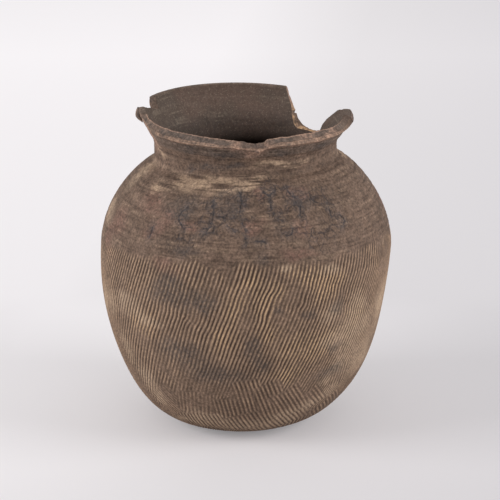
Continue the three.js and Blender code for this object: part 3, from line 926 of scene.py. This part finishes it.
class Clay:
    """Builds up a clay material: a base colour, then colours mixed over it one by one."""

    def __init__(self, name, base):
        self.material, self.nodes, self.links, self.surface = new_material(name)
        self.where = self.nodes.new("ShaderNodeTexCoord").outputs["Object"]
        dark, light = [tuple(share * c for c in base) for share in (0.74, 1.28)]
        first = ramp(self.nodes, (0.3, dark), (0.7, light))
        self.links.new(self.noise(60, 6, 0.65), first.inputs["Fac"])
        self.now = first.outputs["Color"]

    def noise(self, scale, detail=4, roughness=0.55):
        """A noise's value over the piece; the scale is in hills per metre."""
        node = self.nodes.new("ShaderNodeTexNoise")
        node.inputs["Scale"].default_value = scale
        node.inputs["Detail"].default_value = detail
        node.inputs["Roughness"].default_value = roughness
        self.links.new(self.where, node.inputs["Vector"])
        return node.outputs["Fac"]

    def value(self, name):
        """A named value that the piece keeps with each point."""
        node = self.nodes.new("ShaderNodeAttribute")
        node.attribute_name = name
        return node.outputs["Fac"]

    def times(self, *given):
        """The product of sockets and numbers."""
        product = given[0]
        for other in given[1:]:
            product = worked_out(self.nodes, self.links, "MULTIPLY", product, other)
        return product

    def between(self, value, low, high, bottom=0.0, top=1.0):
        """Stretches a value so that low gives the bottom and high gives the top, clamped."""
        return stretched(self.nodes, self.links, value, low, high, bottom, top)

    def lay(self, kind, share):
        """Starts a mix over what is there so far, of a kind and by a share. Returns its node."""
        node = self.nodes.new("ShaderNodeMix")
        node.data_type = "RGBA"
        node.blend_type = kind
        self.links.new(share, node.inputs["Factor"])
        self.links.new(self.now, node.inputs["A"])
        self.now = node.outputs["Result"]
        return node

    def mix(self, color, *shares):
        """Mixes a colour over what is there so far, by the product of the shares."""
        self.lay("MIX", self.times(*shares)).inputs["B"].default_value = (*color, 1)

    def speckle(self, scale, low, high, share):
        """Makes spots darker and lighter, from low to high times the colour, by a noise."""
        gray = ramp(self.nodes, (0.36, (low,) * 3), (0.64, (high,) * 3))
        self.links.new(self.noise(scale, 3, 0.6), gray.inputs["Fac"])
        self.links.new(gray.outputs["Color"], self.lay("MULTIPLY", share).inputs["B"])

    def finish(self):
        """Ties the colour to the surface, with a dull uneven polish and fine bumps."""
        self.links.new(self.now, self.surface.inputs["Base Color"])
        rough = self.between(self.noise(150, 5), 0.3, 0.7, 0.68, 0.88)
        self.links.new(rough, self.surface.inputs["Roughness"])
        self.surface.inputs["Specular IOR Level"].default_value = 0.25
        bumps = self.nodes.new("ShaderNodeBump")
        bumps.inputs["Strength"].default_value = 0.6
        bumps.inputs["Distance"].default_value = 0.15 * MM
        self.links.new(self.noise(1300, 5, 0.7), bumps.inputs["Height"])
        self.links.new(bumps.outputs["Normal"], self.surface.inputs["Normal"])
        return self.material


def make_clay(name, base):
    """Mixes the jar's colours in the order in which they came to be there."""
    clay = Clay(name, base)
    value, between, mix = clay.value, clay.between, clay.mix
    grit = clay.noise(420, 6, 0.7)
    blotch = clay.noise(75, 3, 0.6)
    rib, wiped = value("rib"), value("wiped")
    mix(RED, between(value("red"), 0.25, 0.8, 0, 0.8), between(grit, 0.3, 0.6))
    # painted highlight round the crease, where the top of the shoulder faces up
    mix(TAN_AND_PAINTED_HIGHLIGHT, between(value("crease_highlight"), 0.2, 0.9, 0, 0.85), between(wiped, 0.15, 0.5))
    mix(TAN_AND_PAINTED_HIGHLIGHT, between(wiped, 0.6, 0.9, 0, 0.38), between(grit, 0.4, 0.6))
    mix(GROOVE, between(wiped, 0.42, 0.12, 0, 0.5))
    crest = clay.times(between(rib, 0.5, 0.84), between(grit, 0.32, 0.56, 0.3))
    mix(CREST, crest, between(blotch, 0.3, 0.62, 0.35, 1))
    mix(BRIGHT_CREST, crest, between(value("bright"), 0.2, 0.9, 0.05, 0.8))
    # pale patches: clay rubbed pale, and painted light low on the bowl and at its sides
    mix(PALE_AND_PAINTED_LIGHT, between(value("pale_and_painted_light"), 0.2, 0.9, 0, 0.7), between(rib, 0.1, 0.7, 0.1))
    # the grooves are darkened partly by dirt and partly as painted shade in their hollows
    groove_dirt_and_shade = between(clay.noise(260, 4), 0.3, 0.55, 0.45)
    mix(GROOVE, between(rib, 0.5, 0.1, 0, 0.92), groove_dirt_and_shade)
    mix(INSIDE, clay.times(value("inside"), 0.92))
    mix(SPECK, value("inside"), between(wiped, 0.55, 0.9, 0, 0.3), between(grit, 0.42, 0.6))
    mix(INSIDE_RED, value("inside"), between(clay.noise(22, 3), 0.45, 0.62, 0, 0.8))
    mix(SPECK, value("inside"), between(clay.noise(900, 3, 0.7), 0.58, 0.68, 0, 0.5))
    # soot, and painted shade under the lip strip and deep inside the jar
    mix(SOOT_AND_PAINTED_SHADE, between(value("soot_and_painted_shade"), 0.25, 0.9, 0, 0.7), between(grit, 0.7, 0.35))
    mix(STAIN, clay.times(value("stain"), 0.6), between(grit, 0.62, 0.4))
    mix(CRACKED, clay.times(value("crack"), 0.75))
    mix(BARE, value("bare"), between(grit, 0.3, 0.52, 0.2))
    mix(FRESH, value("fresh"), between(grit, 0.2, 0.6))
    mix(RIND, clay.times(value("rind"), 0.85))
    outside, plain = between(value("inside"), 1, 0, 0.35), between(value("ribbed"), 1, 0, 0.4)
    spotted = clay.times(outside, plain)
    clay.speckle(600, 0.66, 1.36, spotted)
    clay.speckle(190, 0.84, 1.15, spotted)
    return clay.finish()


CLAYS = {
    "ribbed_clay": make_clay("ribbed_clay_finish", BODY),
    "wiped_clay": make_clay("wiped_clay_finish", WIPED_BODY),
    "rim_clay": make_clay("rim_clay_finish", NECK_BODY),
    "worn_clay": make_clay("worn_clay_finish", STRIP_BODY),
}
print("clays", sorted(CLAYS))


def hand_in(piece, node, slot):
    """The piece moves with the jar and stands for its solid, which is hidden. The slot is not used."""
    piece.name = f"{node}_clay"
    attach(piece, "root")
    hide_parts(node)


# %% [markdown]
# ## Straps
# The bowl took five straps and the shoulder three, each about 30 mm wide. A joint between two is
# slanting, because the potter presses the edge of the new strap down over the inside of the old.

# %% Straps
LAP = 0.008
BASE_RISE = 0.009
COLUMNS = int(1440 * FINE)
ROW = 0.0008 / FINE
CRACKED_ROW = 0.0006 / FINE
INNER_ROWS = 8
JOINT_ROWS = 2  # between the ends of a joint
FIRST_JOINT = along_at(BASE_RISE)
AROUND = np.linspace(0, 2 * math.pi, COLUMNS, endpoint=False)[:, None]


def joint_points(around, low, flip, lap=LAP):
    """The points between a joint's outer and inner ends, on a straight line; outer end first."""
    share = np.linspace(0, 1, JOINT_ROWS + 2)[1:-1][None, :]
    outer_along = np.full(around.shape, low)
    inner_along = np.full(around.shape, low + lap)
    r0, z0 = profile(outer_along, outer_marks(around, outer_along)[0])
    r1, z1 = profile(inner_along, inner_marks(around, inner_along)[0])
    radius, height = r0 + (r1 - r0) * share, z0 + (z1 - z0) * share
    found = place(around, radius, height)
    return found[:, ::-1] if flip else found


def face_points(marks, around, low, high, rows):
    """A grid on the outer or inner face between two distances up the outline, which may be
    different in every column."""
    share = np.linspace(0, 1, rows + 1)[None, :]
    along = low + (high - low) * share + 0 * around
    around = np.broadcast_to(around, along.shape)
    depth, values = marks(around, along)
    radius, height = profile(along, depth)
    return place(around, radius, height), values


def strap(name, low, high, slot):
    """A ring of wall between two slanting joints."""
    rows = int((high - low) / (CRACKED_ROW if slot == "wiped_clay" else ROW))
    outer, outer_values = face_points(outer_marks, AROUND, low, high, rows)
    top = joint_points(AROUND, high, False)
    inner, inner_values = face_points(inner_marks, AROUND, high + LAP, low + LAP, INNER_ROWS)
    bottom = joint_points(AROUND, low, True)
    points = np.concatenate([outer, top, inner, bottom], axis=1)
    joint = (JOINT_ROWS, {})
    parts = [(rows + 1, outer_values), joint, (INNER_ROWS + 1, inner_values), joint]
    values = fill_values(parts, COLUMNS)
    loop = points.shape[1]
    base = np.arange(COLUMNS) * loop
    inner_start = rows + JOINT_ROWS + 1
    edges = [base, base + rows, base + inner_start, base + inner_start + INNER_ROWS]
    faces = [grid_faces(COLUMNS, loop, True, True).reshape(-1, 4)]
    piece = build_piece(name, points.reshape(-1, 3), values, faces, CLAYS[slot], edges)
    hand_in(piece, name, slot)


STRAPS = [("bowl", 5, FIRST_JOINT, BELLY, "ribbed_clay"), ("shoulder", 3, BELLY, CREASE, "wiped_clay")]
for part, count, start, end, slot in STRAPS:
    for k in range(count):
        low, high = [start + (end - start) * joint / count for joint in (k, k + 1)]
        strap(f"{part}_strap_{k + 1}", low, high, slot)

# %% [markdown]
# ## The base
# The jar began as a flattened ball of clay. Its underside is a small rest, worn flat, and its edge
# was beaten up into the curve of the bowl.

# %% Base disc
BASE_THICKNESS = 0.010
REST_ROWS, FLOOR_ROWS = 5, 4
DISC_ROW = 0.0009 / FINE
FLOOR_EDGE = 0.004  # the inner face is drawn to here up the outline, and the floor from here in
GRIT, GRIT_HILLS = 0.00008, 0.003  # height and width of the sandy grain under the rest
REST_SHARES, FLOOR_SHARES = (0.08, 0.97), (0.9, 0.06)  # of the edge's radius, for the rows inside


def base_disc():
    """The disc's section runs from the middle of the rest out to the first joint and back over the
    inner floor; a fan of triangles closes each middle."""
    rows = int(FIRST_JOINT / DISC_ROW)
    outer, outer_values = face_points(outer_marks, AROUND, 0, FIRST_JOINT, rows)
    top = joint_points(AROUND, FIRST_JOINT, False)
    high = FIRST_JOINT + LAP
    inner, inner_values = face_points(inner_marks, AROUND, high, FLOOR_EDGE, INNER_ROWS)
    share = np.linspace(*REST_SHARES, REST_ROWS)[None, :]
    ring = np.broadcast_to(AROUND, (COLUMNS, REST_ROWS))
    spots = np.stack([np.sin(ring) * share, np.cos(ring) * share, 0 * ring], axis=-1) * 0.03
    edge = outer[:, :1]
    rest = edge * share[..., None]
    rest[..., 2] = edge[..., 2] * share**6 + GRIT * (1 + grain(spots, GRIT_HILLS, 81))
    rest[..., 2] = np.maximum(rest[..., 2], 0)
    rim_of_floor = inner[:, -1:]
    inward = np.linspace(*FLOOR_SHARES, FLOOR_ROWS)[None, :]
    floor_top = rim_of_floor * inward[..., None]
    floor_top[..., 2] = BASE_THICKNESS + (rim_of_floor[..., 2] - BASE_THICKNESS) * inward**2
    points = np.concatenate([rest, outer, top, inner, floor_top], axis=1)
    parts = [
        (REST_ROWS, {}), (rows + 1, outer_values), (JOINT_ROWS, {}),
        (INNER_ROWS + 1, inner_values), (FLOOR_ROWS, {"inside": 1.0}),
    ]
    values = fill_values(parts, COLUMNS)
    loop = points.shape[1]
    flat = points.reshape(-1, 3)
    low_middle, high_middle = len(flat), len(flat) + 1
    flat = np.concatenate([flat, [[0, 0, GRIT], [0, 0, BASE_THICKNESS]]])
    values = {k: np.concatenate([v.ravel(), [v[0, 0], v[0, -1]]]) for k, v in values.items()}
    base = np.arange(COLUMNS) * loop
    next_base = np.roll(base, -1)
    last, next_last = base + loop - 1, next_base + loop - 1
    low_fan = np.stack([np.full(COLUMNS, low_middle), next_base, base], axis=-1)
    high_fan = np.stack([np.full(COLUMNS, high_middle), last, next_last], axis=-1)
    faces = [grid_faces(COLUMNS, loop, True, False).reshape(-1, 4), low_fan, high_fan]
    outer_end = base + REST_ROWS + rows
    edges = [outer_end, outer_end + JOINT_ROWS + 1]
    piece = build_piece("base_disc", flat, values, faces, CLAYS["ribbed_clay"], edges)
    hand_in(piece, "base_disc", "ribbed_clay")
    width = 2 * float(np.hypot(edge[..., 0], edge[..., 1]).mean())
    print("rest is", round(width / MM, 1), "mm across")


base_disc()

# %% [markdown]
# ## Breaks in the rim
# A piece of the rim is gone at the back right, the front of the lip has worn and flaked down to a
# slope, and a notch with a crack sits near its middle. A break is a sheet that cuts the wall:
# its height at a spot depends on the azimuth, and for the worn slope also on the radius.

# %% Breaks
# azimuth in degrees and depth below the lip in mm, along each broken edge
MISSING_SHERD = [
    (92, -1), (98.5, 2.3), (105.7, 5.8), (109.4, 10.1), (112.6, 14.9), (114.8, 23.8), (119, 26.4),
    (128, 27.7), (134.5, 27.2), (139.4, 24.7), (145, 19), (149.5, 13.8), (153.8, 6.6), (156, -1),
]
FRONT_NOTCH = [(-6.5, -1), (-5, 4.6), (0.5, 6.3), (6.7, 8.3), (11.4, 5.7), (14.5, -1)]
FRONT_WEAR = [
    (-76, -1), (-73, 2.6), (-54, 3.4), (-43, 3.7), (-31, 3.3), (-21, 3.3), (-13, 4.2), (-3, 4.4),
    (14, 3.1), (20.4, 1.4), (35, 1.4), (48.7, 1.9), (56, 2.9), (66, 3.3), (79, 2.3), (80.5, -1),
]
BACK_CHIP = [(245.5, -1), (246.5, 8.6), (258, 5.2), (266, 2.2), (270, 0.6), (272, -1)]
LIP_INNER = NECK_RADIUS + FLARE_REACH - WALL[-1]
WEAR_FALL, NOTCH_FALL = 0.95, 1.3  # how far the worn slope and the notch fall for each metre out
NOTCH_CRACK = 6.7  # azimuth in degrees
NOTCH_MIDDLE, NOTCH_REACH = 4, 9.5  # degrees
SHERD_SKEW = 5.6  # radians that the sherd's face turns for each metre inwards, high on its left
SHERD_FALL = 0.6  # and how far it falls for each metre inwards, low on its left
SHERD_WALL = 0.007  # the wall's thickness at the sherd's edge, at most
ROUGH, LUMPY, NOTCH_LUMPY = 0.0004, 0.0002, 0.0006  # how far grain moves the breaks
ROUGH_HILLS, LUMPY_HILLS = 0.006, 0.002
BREAK_STEPS = 160  # heights that are tried on the way up to a break
OUTER_CUT, INNER_CUT = 0.001, 0.005  # depths at which the outer and inner ends of a break are found


def edge_height(around, run):
    """Height of a broken edge: straight between its points, and far above the lip elsewhere."""
    start = run[0][0]
    turn = (np.degrees(around) - start) % 360 + start
    at, depth = [a for a, _ in run], [d for _, d in run]
    return LIP_HEIGHT - np.interp(turn, at, depth, left=-30, right=-30) * MM


def sherd_height(around, radius):
    """Height of the missing sherd's edge. Its face isn't square to the wall: high on its left side
    it turns away from the front, and low on that side it slopes in."""
    level = edge_height(around, MISSING_SHERD)
    inward = np.clip(np.interp(level, HEIGHT, RADIUS) - radius, 0, SHERD_WALL)
    turn = np.degrees(around) % 360
    turned = around + SHERD_SKEW * inward * hill(turn, 142, 148, 170, 180)
    fall = SHERD_FALL * inward * hill(turn, 120, 130, 142, 152)
    return edge_height(turned, MISSING_SHERD) - fall


def near_notch(degrees):
    """1 in the middle of the notch, falling to 0 on both sides of it."""
    return np.exp(-(((degrees - NOTCH_MIDDLE) / NOTCH_REACH) ** 4))


def in_notch_crack(degrees, height):
    """1 in the crack that runs down from the notch, which bends with the height."""
    bend = 0.6 * np.sin(height * 1500)
    return 1 - rise(abs(degrees - NOTCH_CRACK - bend), 0.3, 1.0)


def cut_height(around, radius):
    """Height above which the wall is gone, the lowest of the four breaks, and how much of it is
    the sharp break of the sherd. Grain roughens all of them."""
    around, radius = np.broadcast_arrays(around, radius)
    out = radius - LIP_INNER
    sherd = sherd_height(around, radius)
    chip = edge_height(around, BACK_CHIP)
    worn = edge_height(around, FRONT_WEAR) - WEAR_FALL * out
    notch = edge_height(around, FRONT_NOTCH) - NOTCH_FALL * out
    spots = np.stack([radius * np.sin(around), radius * np.cos(around), 0 * radius], axis=-1)
    lumpy = LUMPY + NOTCH_LUMPY * near_notch(np.degrees(wrapped(around, 0)))
    rough = ROUGH * (1 + grains(spots, ROUGH_HILLS, 4, 91))
    rough = rough + lumpy * grains(spots, LUMPY_HILLS, 2, 92)
    others = np.minimum(chip, np.minimum(worn, notch))
    return np.minimum(sherd, others) - rough, (sherd < others).astype(float)


def broken_at(around, low, top, depth):
    """Distance up the outline where the wall, at a depth, first meets a break; else the top."""
    along = np.linspace(low, top, BREAK_STEPS)[None, :]
    radius, height = profile(along, depth)
    radius = np.broadcast_to(radius, (len(around), BREAK_STEPS))
    gap = height - cut_height(around, radius)[0]
    above = gap > 0
    k = np.clip(above.argmax(axis=1), 1, BREAK_STEPS - 1)
    row = np.arange(len(around))
    before, after = gap[row, k - 1], gap[row, k]
    share = np.clip(before / (before - after), 0, 1)
    found = along[0, k - 1] + share * (along[0, k] - along[0, k - 1])
    found = np.where(above.any(axis=1), found, top)
    return np.where(above[:, 0], low, found)[:, None]


deepest = np.min(cut_height(np.radians(np.arange(100, 150)), NECK_RADIUS)[0])
print("the missing sherd reaches down to", round(deepest / MM, 1), "mm above the floor")

# %% [markdown]
# ## Neck and rim
# The collar stands upright and the rim flares from it. Their columns are spaced evenly along the
# broken edge rather than round the jar, so that steep stretches of the break stay finely drawn.

# %% Columns along an edge
RIM_JOINT = along_at(0.222)
LIP_TURN = LIP - 0.0017  # from here the lip rounds over
LIP_CROWN = 0.0011
RIM_STEP = 0.00052 / FINE
EDGE_RADIUS = 0.077  # at which the length of the broken edge is measured


def edge_columns(start, end, low, top, ring=False):
    """Azimuths from start to end, one for each step of length along the broken edge."""
    dense = np.radians(np.linspace(start, end, 3000))[:, None]
    edge = broken_at(dense, low, top, OUTER_CUT)
    run = np.hypot(np.diff(dense[:, 0]) * EDGE_RADIUS, np.diff(edge[:, 0]))
    length = np.concatenate([[0], np.cumsum(run)])
    count = int(length[-1] / RIM_STEP)
    marks = np.linspace(0, length[-1], count + 1)
    return np.interp(marks[:-1] if ring else marks, length, dense[:, 0])[:, None]


def over_the_top(around, outer, inner, rows, crown):
    """The edge between the last points of the two faces: half an ellipse over the lip, pressed
    down onto the breaks where they are lower. Returns places and named values."""
    share = np.linspace(0, 1, rows + 2)[1:-1][None, :]
    (r0, z0), (r1, z1) = outer, inner
    lift = crown * np.sqrt(1 - (2 * share - 1) ** 2)
    radius = r0 + (r1 - r0) * share
    height = z0 + (z1 - z0) * share + lift
    ring = np.broadcast_to(around, radius.shape)
    limit, sharp = cut_height(ring, radius)
    broken = rise(height - limit, -0.0001, 0.0003)
    height = np.minimum(height, limit)
    spots = np.stack([radius * np.sin(ring), radius * np.cos(ring), height], axis=-1)
    mottle = rise(grains(spots, ROUGH_HILLS, 3, 93), -0.3, 0.5)
    turn = np.degrees(wrapped(ring, 0))
    notch, tab = near_notch(turn), rise(turn, 58, 84) * (turn < 110)
    plain = (1 - sharp) * (1 - tab)
    bared = 0.12 + 0.83 * np.maximum(notch, 0.45 * hill(turn, 28, 36, 56, 64))
    inner_share = rise(share, 0.78, 0.9)
    inner_line = inner_share * (abs(turn) < 90) * plain * (1 - notch)
    depth = LIP_HEIGHT - height
    worn = bared * (0.2 + 0.8 * mottle) + 0.75 * inner_line
    values = {
        "fresh": broken * sharp * 0.85 * rise(depth, 0.008, 0.02),
        "bare": broken * (sharp * 0.6 + plain * worn),
        "soot_and_painted_shade": broken * plain * (0.85 - 0.45 * mottle) * (1 - inner_line) * (1 - bared * mottle),
        "crack": in_notch_crack(turn, height) * broken * notch,
        "rind": broken * sharp * inner_share * (1 - rise(depth, 0.012, 0.02)),
        "inside": 0.8 * tab,
    }
    return place(ring, radius, height), values


# %% Collar and rim
COLLAR_OVER, RIM_OVER = 8, 12  # points over the top of each
COLLAR_CUT = 0.006  # depth at which the inner end of the collar's break is found
COLLAR_LEAST = 0.002  # least width of the collar's outer face
TURN_STEPS = 7201  # azimuths that are tried to find the ends of the rim
SLIVER = 0.0004  # the rim ends where less than this is left of it


def end_caps(columns, loop):
    """One many-sided face over each end of a piece that doesn't go all the way round."""
    first = np.arange(loop)[None, :]
    last = (columns - 1) * loop + np.arange(loop)[None, ::-1]
    return [first, last]


def broken_band(name, slot, around, low, ends, rows, over, crown, lap=0.0):
    """A band of wall with breaks for its top: up the outer face, over the top, down the inner face
    and back across the joint. A slanting joint goes with a band that closes into a ring."""
    high_out, high_in = ends
    outer, outer_values = face_points(outer_marks, around, low, high_out, rows)
    inner, inner_values = face_points(inner_marks, around, high_in, low + lap, rows)
    out_end = profile(high_out, outer_marks(around, high_out)[0])
    in_end = profile(high_in, inner_marks(around, high_in)[0])
    top, top_values = over_the_top(around, out_end, in_end, over, crown)
    bottom = joint_points(around, low, True, lap)
    points = np.concatenate([outer, top, inner, bottom], axis=1)
    joint = (JOINT_ROWS, {})
    parts = [(rows + 1, outer_values), (over, top_values), (rows + 1, inner_values), joint]
    values = fill_values(parts, len(around))
    loop = points.shape[1]
    base = np.arange(len(around)) * loop
    edges = [base, base + 2 * rows + over + 1]
    faces = [grid_faces(len(around), loop, lap > 0, True).reshape(-1, 4)]
    if lap > 0:
        edges += [base + rows, base + rows + over + 1]
    else:
        faces += end_caps(len(around), loop)
    piece = build_piece(name, points.reshape(-1, 3), values, faces, CLAYS[slot], edges)
    hand_in(piece, name, slot)


def neck_collar():
    """The upright neck, cut down where the missing sherd reaches below the rim."""
    around = edge_columns(0, 360, CREASE, RIM_JOINT, ring=True)
    high_out = broken_at(around, CREASE + COLLAR_LEAST, RIM_JOINT, OUTER_CUT)
    high_in = broken_at(around, CREASE + LAP, RIM_JOINT, COLLAR_CUT)
    rows = int((RIM_JOINT - CREASE) / ROW)
    ends = high_out, high_in
    broken_band("neck_collar", "wiped_clay", around, CREASE, ends, rows, COLLAR_OVER, 0, LAP)


def rim_flare():
    """The flared rim, from one side of the missing sherd round the front to the other."""
    wide = np.radians(np.linspace(0, 360, TURN_STEPS))[:, None]
    lowest = RIM_JOINT + SLIVER
    gone = broken_at(wide, RIM_JOINT, LIP_TURN, OUTER_CUT) < lowest
    gone |= broken_at(wide, RIM_JOINT, LIP_TURN, INNER_CUT) < lowest
    first, last = np.degrees(wide[gone[:, 0]][[0, -1], 0])
    around = edge_columns(last, first + 360, RIM_JOINT, LIP_TURN)
    ends = [broken_at(around, RIM_JOINT, LIP_TURN, depth) for depth in (OUTER_CUT, INNER_CUT)]
    rows = int((LIP - RIM_JOINT) / ROW)
    broken_band("rim_flare", "rim_clay", around, RIM_JOINT, ends, rows, RIM_OVER, LIP_CROWN)
    print("rim runs from", round(last), "to", round(first + 360), "degrees")


neck_collar()
rim_flare()

# %% [markdown]
# ## The lip strip
# A band of clay was laid round the outside of the lip to thicken it. It broke into lengths: one
# is whole along the back, one is the tab at the left, and one is the tab at the right. At the
# front only its foot is left, as a pale worn ridge under the broken slope. Between that ridge and
# the left tab the band has come away, and the wall there is rough.

# %% Lip strips
STRIP_FOOT = 0.013
STRIP_TOP = 0.0018
STRIP_SUNK = 0.0006  # the strip's seat lies this deep in the rim, so that no gap shows
STRIP_EDGE, STRIP_BULGE = 0.0009, 0.0022  # how far its edges and its middle stand out
STRIP_CROWN = 0.0004
STRIP_SKIN = 0.0002
KNOCKS, SMALL_KNOCKS = 0.00035, 0.00012  # depths that grain takes off its face
KNOCK_HILLS, SMALL_KNOCK_HILLS = 0.007, 0.002
REACH_STEPS, LEAST_REACH = 120, 0.05
STRIP_ROWS, STRIP_OVER, SEAT_ROWS = 18, 8, 5
STRIP_RADIUS = 0.08  # at which the distance from a blunt end is measured
FADE = -0.0004, 0.003  # the end fades out between these distances
STRIPS = [  # name, azimuths of its ends, slot, which ends are blunt, and how far down it reaches
    ("lip_strip_back", 156, 246, "rim_clay", True, True, STRIP_FOOT),
    ("lip_strip_left", 246, 274, "rim_clay", True, True, 0.0105),
    ("lip_strip_front_left", 304, 366.7, "worn_clay", True, False, 0.0098),
    ("lip_strip_front_right", 6.7, 80.5, "worn_clay", False, False, 0.0098),
    ("lip_strip_right", 80.5, 103, "rim_clay", False, True, 0.0098),
]


def strip_depth(share):
    """How far the strip's face stands outside the rim's: a sine bulge, fuller near the top."""
    return -(STRIP_EDGE + STRIP_BULGE * np.sin(math.pi * share**1.25))


def strip_reach(around, foot, top, fade):
    """Share of the strip's height at which its face meets a break, in each column."""
    share = np.linspace(0, 1, REACH_STEPS)[None, :]
    along = foot + (top - foot) * share + 0 * around
    radius, height = profile(along, strip_depth(share) * fade)
    gone = height > cut_height(around, radius)[0]
    reach = np.where(gone.any(axis=1), gone.argmax(axis=1) / (REACH_STEPS - 1), 1.0)[:, None]
    return np.maximum(reach, LEAST_REACH)


def strip_values(turn, share, height, spots, knocks):
    """Named values of the strip's face: bare where it is worn, red and sooty in places, with a
    pale ridge at the left of the front and the crack under the notch."""
    lumps = rise(grains(spots, ROUGH_HILLS, 3, 97), -0.5, 0.6)
    notch, tab = near_notch(turn), rise(turn, 66, 84)
    ridge = rise(share, 0.1, 0.3) * hill(turn, -62, -50, -16, -4)
    dull = hill(turn, -20, -15, -9, -5) + hill(turn, 14, 18, 24, 30)
    worn = np.maximum(lumps * 0.5 * (1 - 0.8 * dull), notch * (0.3 + 0.6 * lumps))
    return {
        "bare": worn * (1 - 0.8 * tab),
        "crack": in_notch_crack(turn, height) * notch,
        "pale_and_painted_light": ridge * rise(knocks, -0.0004, 0.0001),
        "soot_and_painted_shade": (0.75 - 0.7 * notch) * (1 - lumps) * (1 - 0.6 * ridge) + 0.35 * tab,
        "red": tab + 0.8 * (rise(turn, -18, -8) - rise(turn, 0, 6)),
    }


def lip_strip(name, start, end, slot, blunt_start, blunt_end, drop):
    """A length of the strip. Its section goes up the bulging face, over the break or the rounded
    top to the rim, and down its seat; a blunt end fades out over a few millimetres."""
    foot, top = along_at(LIP_HEIGHT - drop), along_at(LIP_HEIGHT - STRIP_TOP)
    around = edge_columns(start, end, foot, top)
    fade = np.ones_like(around)
    if blunt_start:
        fade *= np.sqrt(rise((around - around[0]) * STRIP_RADIUS, *FADE))
    if blunt_end:
        fade *= np.sqrt(rise((around[-1] - around) * STRIP_RADIUS, *FADE))
    share = strip_reach(around, foot, top, fade) * np.linspace(0, 1, STRIP_ROWS)[None, :]
    along = foot + (top - foot) * share
    ring = np.broadcast_to(around, along.shape)
    plain, _ = profile(along, 0.0)
    spots = np.stack([plain * np.sin(ring), plain * np.cos(ring), along], axis=-1)
    knocks = KNOCKS * grains(spots, KNOCK_HILLS, 3, 95)
    knocks = knocks + SMALL_KNOCKS * grains(spots, SMALL_KNOCK_HILLS, 2, 96)
    radius, height = profile(along, strip_depth(share) * fade + STRIP_SKIN + abs(knocks))
    face = place(ring, radius, height)
    seat_top = broken_at(around, foot, top, STRIP_SUNK)
    seat_along = seat_top + (foot - seat_top) * np.linspace(0, 1, SEAT_ROWS)[None, :]
    seat_r, seat_z = profile(seat_along, STRIP_SUNK)
    seat = place(np.broadcast_to(around, seat_r.shape), seat_r, seat_z)
    ends = (radius[:, -1:], height[:, -1:]), (seat_r[:, :1], seat_z[:, :1])
    crown, crown_values = over_the_top(around, *ends, STRIP_OVER, STRIP_CROWN)
    worn = strip_values(np.degrees(wrapped(ring, 0)), share, along, spots, knocks)
    points = np.concatenate([face, crown, seat], axis=1)
    parts = [(STRIP_ROWS, worn), (STRIP_OVER, crown_values), (SEAT_ROWS, {})]
    values = fill_values(parts, len(around))
    loop = points.shape[1]
    faces = [grid_faces(len(around), loop, False, True).reshape(-1, 4)] + end_caps(len(around), loop)
    piece = build_piece(name, points.reshape(-1, 3), values, faces, CLAYS[slot])
    hand_in(piece, name, slot)


for length in STRIPS:
    lip_strip(*length)
